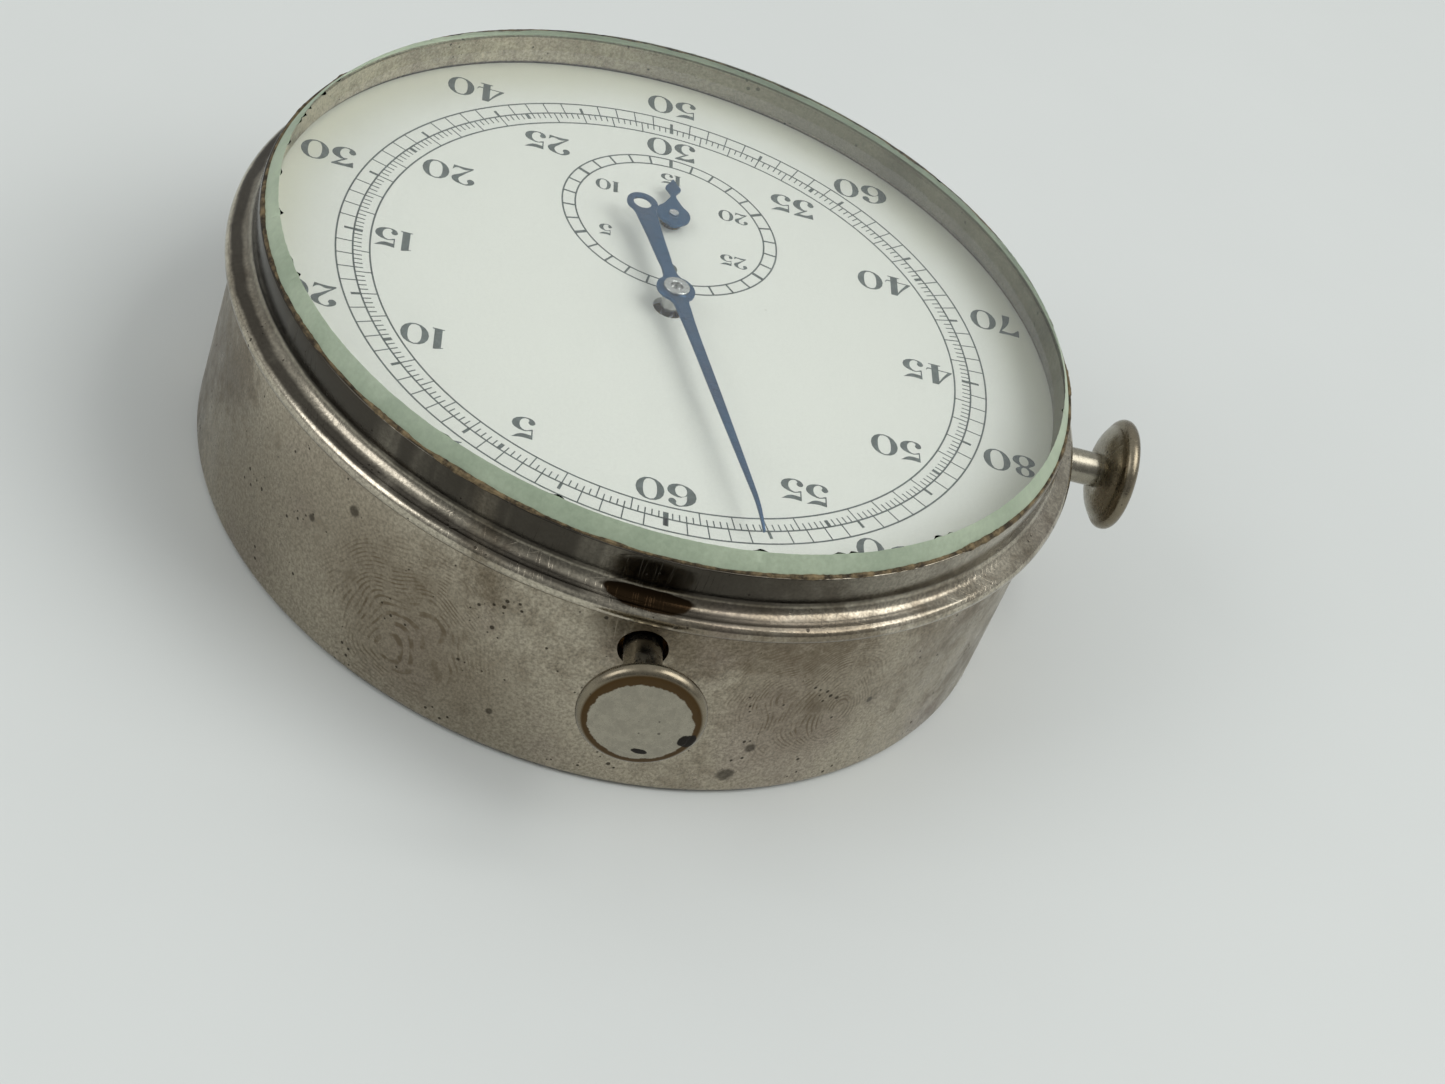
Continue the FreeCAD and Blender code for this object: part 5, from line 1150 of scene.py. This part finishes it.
@dataclass
class DialPrint:
    """Printed rings, divisions and figures of the dial, as a thin layer of ink."""

    scale_ring: float = 23.0 * MM
    ink: float = 0.012 * MM
    sink: float = 0.004 * MM
    hairline: float = 0.12 * MM
    fine_line: float = 0.085 * MM
    inner_ring: float = 0.9
    short_from: float = 0.924
    middle_ring: float = 0.95
    figure_gap: float = 0.08
    register_ring: float = 0.343
    register_inner: float = 0.302
    top: float = field(default_factory=lambda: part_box("dial")[1].z)
    register_centre: Point = field(default_factory=lambda: DialPrint.find_register())
    drawn: dict[str, Glyph] = field(default_factory=figures)

    @staticmethod
    def find_register() -> Point:
        """Centre of the thirty-minute register, from the register's joint."""
        place = next(j for j in frame["joints"] if j["child"] == Body.REGISTER.value)["pos_m"]
        return place[0], place[1]

    def build(self) -> None:
        """Print the main scales, the register and the figures."""
        self.print_rings()
        self.print_divisions()
        self.print_figures()

    def finish_print(self, piece: bpy.types.Object) -> None:
        """Give a printed piece its ink and let it ride on the case."""
        dress(piece, ScaleInk().material())
        hand_over(piece, Body.CASE, "silvered_dial")

    def ring(self, radius: float, centre: Point = (0.0, 0.0)) -> bpy.types.Object:
        """Thin printed circle of a mean radius."""
        low, high = self.top - self.sink, self.top + self.ink
        inner, outer = radius - self.hairline / 2, radius + self.hairline / 2
        ring = turned("ring", [(inner, low), (outer, low), (outer, high), (inner, high), (inner, low)])
        ring.location = (*centre, 0.0)
        freeze(ring)
        return ring

    def print_rings(self) -> None:
        """Three rings of the main scales and two of the register."""
        unit = self.scale_ring
        rings = [self.ring(unit * share) for share in (self.inner_ring, self.middle_ring, 1.0)]
        rings += [self.ring(unit * share, self.register_centre)
                  for share in (self.register_ring, self.register_inner)]
        self.finish_print(joined("printed_rings", rings))

    def divisions(self, name: str, marks: Sequence[Line], centre: Point = (0.0, 0.0)) -> None:
        """Print a set of radial lines as one piece.

        Args:
            name: the piece's name.
            marks: angle in degrees from +X, inner and outer radius, and width of each line.
            centre: where the lines point to.
        """
        piece = bpy.data.objects.new(name, bpy.data.meshes.new(name))
        bpy.context.scene.collection.objects.link(piece)
        take_up(piece)
        bpy.ops.object.mode_set(mode="EDIT")
        height = self.ink + self.sink
        for degrees, inner, outer, width in marks:
            middle = (*polar((inner + outer) / 2, degrees, centre), self.top - self.sink + height / 2)
            bpy.ops.mesh.primitive_cube_add(
                size=1.0, location=middle, rotation=(0.0, 0.0, math.radians(degrees)),
                scale=(outer - inner, width, height))
        bpy.ops.object.mode_set(mode="OBJECT")
        self.finish_print(piece)

    def print_divisions(self) -> None:
        """Fifths of a second inside, hundredths of the minute outside, and the register's minutes."""
        unit = self.scale_ring
        middle = self.middle_ring * unit
        seconds: list[Line] = [(90.0, self.short_from * unit, 0.98 * unit, 0.36 * MM)]
        for fifth in range(1, 300):
            bold = fifth % 25 == 0
            inner = self.inner_ring if fifth % 5 == 0 and not bold else self.short_from
            seconds.append((90.0 - fifth * 1.2, inner * unit, middle, 0.27 * MM if bold else self.fine_line))
        self.divisions("second_divisions", seconds)
        hundredths = [(90.0 - part * 3.6, middle, unit if part % 5 else 0.979 * unit,
                       self.fine_line if part % 5 else 0.21 * MM) for part in range(100)]
        self.divisions("hundredth_divisions", hundredths)
        inner, outer = self.register_inner * unit, self.register_ring * unit
        minutes = [(90.0 - minute * 12.0, inner, outer, 0.15 * MM if minute % 5 else 0.26 * MM)
                   for minute in range(30)]
        self.divisions("minute_divisions", minutes, self.register_centre)

    def number(self, text: str, centre: Point, height: float) -> list[bpy.types.Object]:
        """Set the figures of a number upright about a centre."""
        widths = [self.drawn[figure][0] for figure in text]
        x = centre[0] - (sum(widths) + self.figure_gap * (len(text) - 1)) * height / 2
        y = centre[1] - height / 2
        pieces = []
        for figure, width in zip(text, widths):
            outlines = [[(x + across * height, y + up * height, corner) for across, up, corner in outline]
                        for outline in self.drawn[figure][1]]
            pieces.append(flat_piece("figure", outlines, self.top - self.sink, self.top + self.ink))
            x += (width + self.figure_gap) * height
        return pieces

    def print_figures(self) -> None:
        """Seconds inside the scale, hundredths outside it and minutes in the register."""
        unit = self.scale_ring
        seconds_at = {60: 0.84, 5: 0.821, 10: 0.828, 15: 0.834, 20: 0.804, 25: 0.801, 30: 0.836,
                      35: 0.803, 40: 0.803, 45: 0.814, 50: 0.80, 55: 0.808}
        hundredths_at = {10: 1.09, 20: 1.104, 30: 1.115, 40: 1.091, 50: 1.079, 60: 1.084, 70: 1.113,
                         80: 1.104, 90: 1.088, 100: 1.085}
        pieces = []
        for value, reach in seconds_at.items():
            pieces += self.number(str(value), polar(reach * unit, 90.0 - 6.0 * value), 0.094 * unit)
        for value, reach in hundredths_at.items():
            pieces += self.number(str(value), polar(reach * unit, 90.0 - 3.6 * value), 0.097 * unit)
        for value in range(0, 30, 5):
            at = polar(0.235 * unit, 90.0 - 12.0 * value, self.register_centre)
            pieces += self.number(str(value), at, 0.056 * unit)
        self.finish_print(joined("printed_figures", pieces))


# ---------------------------------------------------------------- hands


def both_sides(tip: Point, side: Sequence[Point]) -> list[Knot]:
    """Closed outline from a sharp tip and the places along one side of the X axis."""
    upper = [(*tip, Corner.SHARP), *rounded(side)]
    return [*upper, *((x, -y, corner) for x, y, corner in reversed(upper))]


def round_hole(x: float, radius: float) -> list[Knot]:
    """Outline of a round hole on the X axis."""
    return rounded(around((x, 0.0), radius, 0.0, 330.0, 11))


@dataclass
class Hands:
    """Sweep seconds hand with a ring on its tail, its bright pipe, and the register's spade hand."""

    sheet_round: float = 0.04 * MM
    length: float = 23.0 * MM
    hub: float = 1.36 * MM
    tail: float = 9.43 * MM
    tail_ring: float = 1.12 * MM
    tail_hole: float = 0.65 * MM
    bore: float = 0.69 * MM
    minute_length: float = 4.2 * MM
    minute_hub: float = 1.24 * MM
    minute_hole: float = 0.34 * MM
    bend_steps: int = 10

    def build(self) -> None:
        """Make the three pieces."""
        self.build_seconds()
        self.build_pipe()
        self.build_minute()

    @staticmethod
    def heading(node: str, centre: Point) -> float:
        """Angle in radians from +X to the design hand's far end, as seen from its centre."""
        middle = Vector(centre)
        far = max((v.co.xy - middle for v in frame["nodes"][node].data.vertices), key=lambda p: p.length)
        return math.atan2(far.y, far.x)

    def build_seconds(self) -> None:
        """Tapered blade, narrow waist, widened tail with its ring, and a hole for the pipe."""
        low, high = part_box("seconds_hand")[0].z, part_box("seconds_hand")[1].z
        side = [(0.9 * self.length, 0.14 * MM), (0.55 * self.length, 0.3 * MM), (2.2 * MM, 0.52 * MM),
                *around((0.0, 0.0), self.hub, 30.0, 150.0, 8),
                (-2.0 * MM, 0.46 * MM), (-3.4 * MM, 0.5 * MM), (-7.6 * MM, 0.72 * MM),
                *around((-self.tail, 0.0), self.tail_ring, 50.0, 170.0, 6)]
        outlines = [both_sides((self.length, 0.07 * MM), side), round_hole(0.0, self.bore),
                    round_hole(-self.tail, self.tail_hole)]
        hand = flat_piece("seconds_hand_blade", outlines, low, high, self.sheet_round, 6)
        self.bend_tip(hand, 0.87 * self.length, 0.55 * MM)
        hand.rotation_euler.z = self.heading("seconds_hand", (0.0, 0.0))
        freeze(hand)
        smooth(hand, math.radians(40.0))
        dress(hand, BluedSteel().material())
        hand_over(hand, Body.SWEEP, "blued_steel", "seconds_hand")

    def bend_tip(self, hand: bpy.types.Object, start: float, drop: float) -> None:
        """Bend the end of the blade down towards the dial in a smooth curve.

        Args:
            hand: the blade along +X.
            start: where the bend begins.
            drop: how far the tip comes down.
        """
        take_up(hand)
        bpy.ops.object.mode_set(mode="EDIT")
        for step in range(self.bend_steps):
            bpy.ops.mesh.select_all(action="SELECT")
            at = start + (self.length - start) * step / self.bend_steps
            bpy.ops.mesh.bisect(plane_co=(at, 0.0, 0.0), plane_no=(1.0, 0.0, 0.0))
        bpy.ops.object.mode_set(mode="OBJECT")
        for vertex in hand.data.vertices:
            share = max(0.0, (vertex.co.x - start) / (self.length - start))
            vertex.co.z -= drop * share * share

    def build_pipe(self) -> None:
        """Bright tube that carries the seconds hand, with a rounded collar and a deep bore."""
        low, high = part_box("seconds_hand_pipe")
        outer = high.x
        bore = 0.42 * MM
        top = high.z
        collar = top - 0.24 * MM
        edge = 0.07 * MM
        wall = self.bore - 0.01 * MM
        outline = [(bore, low.z), (wall, low.z), (wall, collar), (outer, collar)]
        outline += around((outer - edge, top - edge), edge, 0.0, 90.0, 4)
        outline += around((bore + edge, top - edge), edge, 90.0, 180.0, 4)
        outline += [(bore, low.z)]
        pipe = turned("seconds_hand_tube", outline, 96)
        dress(pipe, SLOT_FINISHES["hand_pipe"].material())
        hand_over(pipe, Body.SWEEP, "hand_pipe", "seconds_hand_pipe")

    def build_minute(self) -> None:
        """Small spade hand with a round hub and a stub of a tail."""
        low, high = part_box("minute_hand")[0].z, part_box("minute_hand")[1].z
        centre = DialPrint.find_register()
        length = self.minute_length
        side = [(length - 0.55 * MM, 0.3 * MM), (length - 1.05 * MM, 0.56 * MM),
                (length - 1.5 * MM, 0.36 * MM), (length - 1.85 * MM, 0.2 * MM), (2.0 * MM, 0.24 * MM),
                (1.55 * MM, 0.45 * MM),
                *around((0.0, 0.0), self.minute_hub, 38.0, 140.0, 6),
                (-1.34 * MM, 0.3 * MM), (-1.42 * MM, 0.2 * MM)]
        outlines = [both_sides((length, 0.05 * MM), side), round_hole(0.0, self.minute_hole)]
        hand = flat_piece("minute_hand_spade", outlines, low, high, self.sheet_round, 6)
        hand.rotation_euler.z = self.heading("minute_hand", centre)
        hand.location = (*centre, 0.0)
        freeze(hand)
        smooth(hand, math.radians(40.0))
        dress(hand, BluedSteel().material())
        hand_over(hand, Body.REGISTER, "blued_steel", "minute_hand")


# ---------------------------------------------------------------- push-pieces


@dataclass
class PushPiece:
    """Mushroom cap on a round stem, at one side of the case."""

    label: str
    body: Body
    degrees: float
    stem_radius: float = 1.22 * MM
    thickness: float = 2.3 * MM

    def build(self) -> None:
        """Make the cap and the stem along the push-piece's own axis."""
        low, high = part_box(f"{self.label}_pusher_cap")
        middle = (low.z + high.z) / 2
        radius = (high.z - low.z) / 2
        face = max(abs(low.x), abs(high.x), abs(low.y), abs(high.y))
        finish = self.finish(face, middle)
        under = face - self.thickness
        self.set_up("cap", self.cap_outline(radius, face, under), middle, finish)
        stem_low, stem_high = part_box(f"{self.label}_pusher_stem")
        reach = [abs(v) for v in (stem_low.x, stem_high.x, stem_low.y, stem_high.y) if abs(v) > 5 * MM]
        start, end = min(reach), max(reach)
        edge = 0.1 * MM
        stem = [(0.0, start)]
        stem += around((self.stem_radius - edge, start + edge), edge, -90.0, 0.0, 3)
        stem += [(self.stem_radius, (start + end) / 2), (self.stem_radius, end), (0.0, end)]
        self.set_up("stem", stem, middle, finish)

    def finish(self, face: float, middle: float) -> PushNickel:
        """The push-piece's own finish, measured from its axis."""
        lies_on_y = self.body is Body.START
        pit = Mark((-3.15 * MM, face, middle - 0.9 * MM), (0.72 * MM, 0.9 * MM, 0.78 * MM))
        blot = Mark((-0.55 * MM, face, middle - 2.45 * MM), (0.62 * MM, 0.9 * MM, 0.30 * MM))
        return PushNickel(
            name=f"{self.label}_push_nickel", centre=(0.0, 0.0, middle), face=face,
            across=(1.0, 0.0, 1.0) if lies_on_y else (0.0, 1.0, 1.0),
            spots=(pit, blot) if lies_on_y else ())

    def cap_outline(self, radius: float, face: float, under: float) -> list[Point]:
        """Section of the cap: hollowed underside, groove, round rim and a gently domed face."""
        rim_low = under + 0.85 * MM
        rim_high = face - 0.35 * MM
        rim_middle = (rim_low + rim_high) / 2
        rim_edge = radius - 0.5 * MM
        crown = face - rim_high
        dome = (rim_edge ** 2 + crown ** 2) / (2 * crown)
        outline = [(self.stem_radius, under + 0.6 * MM), (self.stem_radius, under + 0.02 * MM),
                   (self.stem_radius + 0.1 * MM, under), (self.stem_radius + 0.5 * MM, under)]
        outline += bow(outline[-1], (radius - 1.35 * MM, under + 0.22 * MM),
                       (radius - 0.55 * MM, rim_low - 0.15 * MM), 8)
        outline += [(radius - 0.6 * MM, rim_low - 0.06 * MM), (radius - 0.45 * MM, rim_low)]
        outline += bow(outline[-1], (radius, rim_middle), (rim_edge, rim_high), 14)
        for step in range(1, 9):
            reach = rim_edge * (1 - step / 8)
            outline.append((reach, face - dome + math.sqrt(dome ** 2 - reach ** 2)))
        return outline

    def set_up(self, part: str, outline: list[Point], height: float, finish: PushNickel) -> None:
        """Turn a part, lay it along the push-piece's axis and hand it over."""
        piece = turned(f"{self.label}_push_{part}", outline, 128)
        piece.rotation_euler = (0.0, math.pi / 2, 0.0)
        freeze(piece)
        piece.rotation_euler = (0.0, 0.0, math.radians(self.degrees))
        piece.location.z = height
        freeze(piece)
        dress(piece, finish.material())
        hand_over(piece, self.body, "push_nickel", f"{self.label}_pusher_{part}")


# ---------------------------------------------------------------- movement


SLOT_FINISHES: dict[str, Finish] = {
    "worn_nickel": WornNickel(),
    "push_nickel": WornNickel(),
    "crystal_glass": ClearGlass(),
    "silvered_dial": SilveredDial(),
    "blued_steel": BluedSteel(),
    "hand_pipe": PlainMetal("hand_pipe", (0.55, 0.55, 0.54), (0.3, 0.29, 0.27), (0.12, 0.25)),
    "plate_brass": PlainMetal("plate_brass", (0.72, 0.56, 0.28), (0.45, 0.30, 0.12), (0.24, 0.4), 260.0),
    "wheel_brass": PlainMetal("wheel_brass", (0.80, 0.60, 0.26), (0.5, 0.33, 0.12), (0.16, 0.3), 420.0),
    "bright_steel": PlainMetal("bright_steel", (0.58, 0.58, 0.58), (0.33, 0.31, 0.29), (0.16, 0.3), 420.0),
    "screw_steel": PlainMetal("screw_steel", (0.50, 0.50, 0.52), (0.28, 0.26, 0.25), (0.14, 0.26), 520.0),
    "spring_steel": PlainMetal("spring_steel", (0.10, 0.14, 0.24), (0.16, 0.13, 0.11), (0.2, 0.34), 520.0),
    "ruby": Ruby(),
}


def dress_design() -> None:
    """Give every carried design node the finish of its slot in the record."""
    slots = {part["node"]: part["material_slot"] for part in frame["record"]["subparts"]}
    for name, node in frame["nodes"].items():
        dress(node, SLOT_FINISHES[slots[name]].material())
        for face in node.data.polygons:
            face.material_index = 0


# ---------------------------------------------------------------- studio


@dataclass
class Studio:
    """Pale floor, soft light and the camera."""

    lens: float = 71.4
    sensor: float = 36.0
    reach: float = 23.0 * MM
    camera_at: Place = (1.42, 6.822, 4.92)
    right: Place = (-0.9533, 0.0062, 0.3021)
    up: Place = (0.2234, -0.6600, 0.7176)
    forward: Place = (-0.2038, -0.7514, -0.6278)

    def build(self) -> None:
        """Set up the floor, the lamps, the sky and the camera."""
        self.build_floor()
        self.build_camera()
        self.build_lamps()
        self.build_sky()

    def build_floor(self) -> None:
        """Wide pale sheet under the watch."""
        lay_down()
        bpy.ops.mesh.primitive_plane_add(size=4.0, location=(0.0, 0.0, CAD_BOX[0].z - 0.02 * MM))
        floor = bpy.context.object
        floor.name = "floor"
        freeze(floor)
        dress(floor, Paper().material())

    def build_camera(self) -> None:
        """Camera above twelve o'clock, looking down across the dial, a little rolled."""
        data = bpy.data.cameras.new("camera")
        data.lens = self.lens
        data.sensor_width = self.sensor
        data.clip_start = 0.01
        camera = bpy.data.objects.new("camera", data)
        bpy.context.scene.collection.objects.link(camera)
        dial_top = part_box("dial")[1].z
        place = Vector(self.camera_at) * self.reach + Vector((0.0, 0.0, dial_top))
        turn = Matrix((self.right, self.up, tuple(-x for x in self.forward))).transposed()
        camera.matrix_world = Matrix.Translation(place) @ turn.to_4x4()
        bpy.context.scene.camera = camera

    def lamp(self, name: str, power: float, size: float, away: Vector, colour: Colour) -> None:
        """Large soft lamp, turned to the watch.

        Args:
            name: the lamp's name.
            power: watts.
            size: width of the lamp's square.
            away: where it stands.
            colour: its light.
        """
        data = bpy.data.lights.new(name, "AREA")
        data.energy = power
        data.size = size
        data.color = colour
        lamp = bpy.data.objects.new(name, data)
        bpy.context.scene.collection.objects.link(lamp)
        lamp.location = away
        lamp.rotation_euler = (-away).to_track_quat("-Z", "Y").to_euler()

    def build_lamps(self) -> None:
        """A broad lamp overhead at the right of the view, and a weaker window at its left."""
        self.lamp("ceiling", 6.0, 0.75, Vector((-0.62, 0.12, 0.88)), (1.0, 1.0, 0.985))
        self.lamp("side_window", 2.6, 0.6, Vector((0.85, 0.25, 0.62)), (0.98, 0.985, 1.0))

    def build_sky(self) -> None:
        """Room light: bright overhead, darker towards the floor and behind the camera."""
        world = bpy.data.worlds.new("room")
        world.use_nodes = True
        bpy.context.scene.world = world
        sheet = Sheet(world.node_tree)
        back = world.node_tree.nodes["Background"]
        where = sheet.add("TexCoord").outputs["Generated"]
        height = sheet.fade(sheet.axis(where, "Z"), -0.1, 0.75, (0.44, 0.67))
        behind = sheet.fade(sheet.axis(where, "Y"), 0.2, 0.9, (1.0, 0.45))
        light = sheet.sum("MULTIPLY", height, behind)
        sheet.feed(back.inputs["Color"], sheet.blend(1.0, (0.97, 1.0, 1.0), light, "MULTIPLY"))
        back.inputs["Strength"].default_value = 1.0


def main() -> None:
    """Build the stopwatch's looks and the studio round it."""
    logging.basicConfig(level=logging.INFO, format="%(name)s: %(message)s")
    dress_design()
    DrumCase().build()
    Crystal().build()
    DialPrint().build()
    Hands().build()
    PushPiece("start", Body.START, 90.0).build()
    PushPiece("reset", Body.RESET, 180.0).build()
    Studio().build()
    bpy.context.scene.view_settings.view_transform = "Standard"


if __name__ == "__main__":
    main()
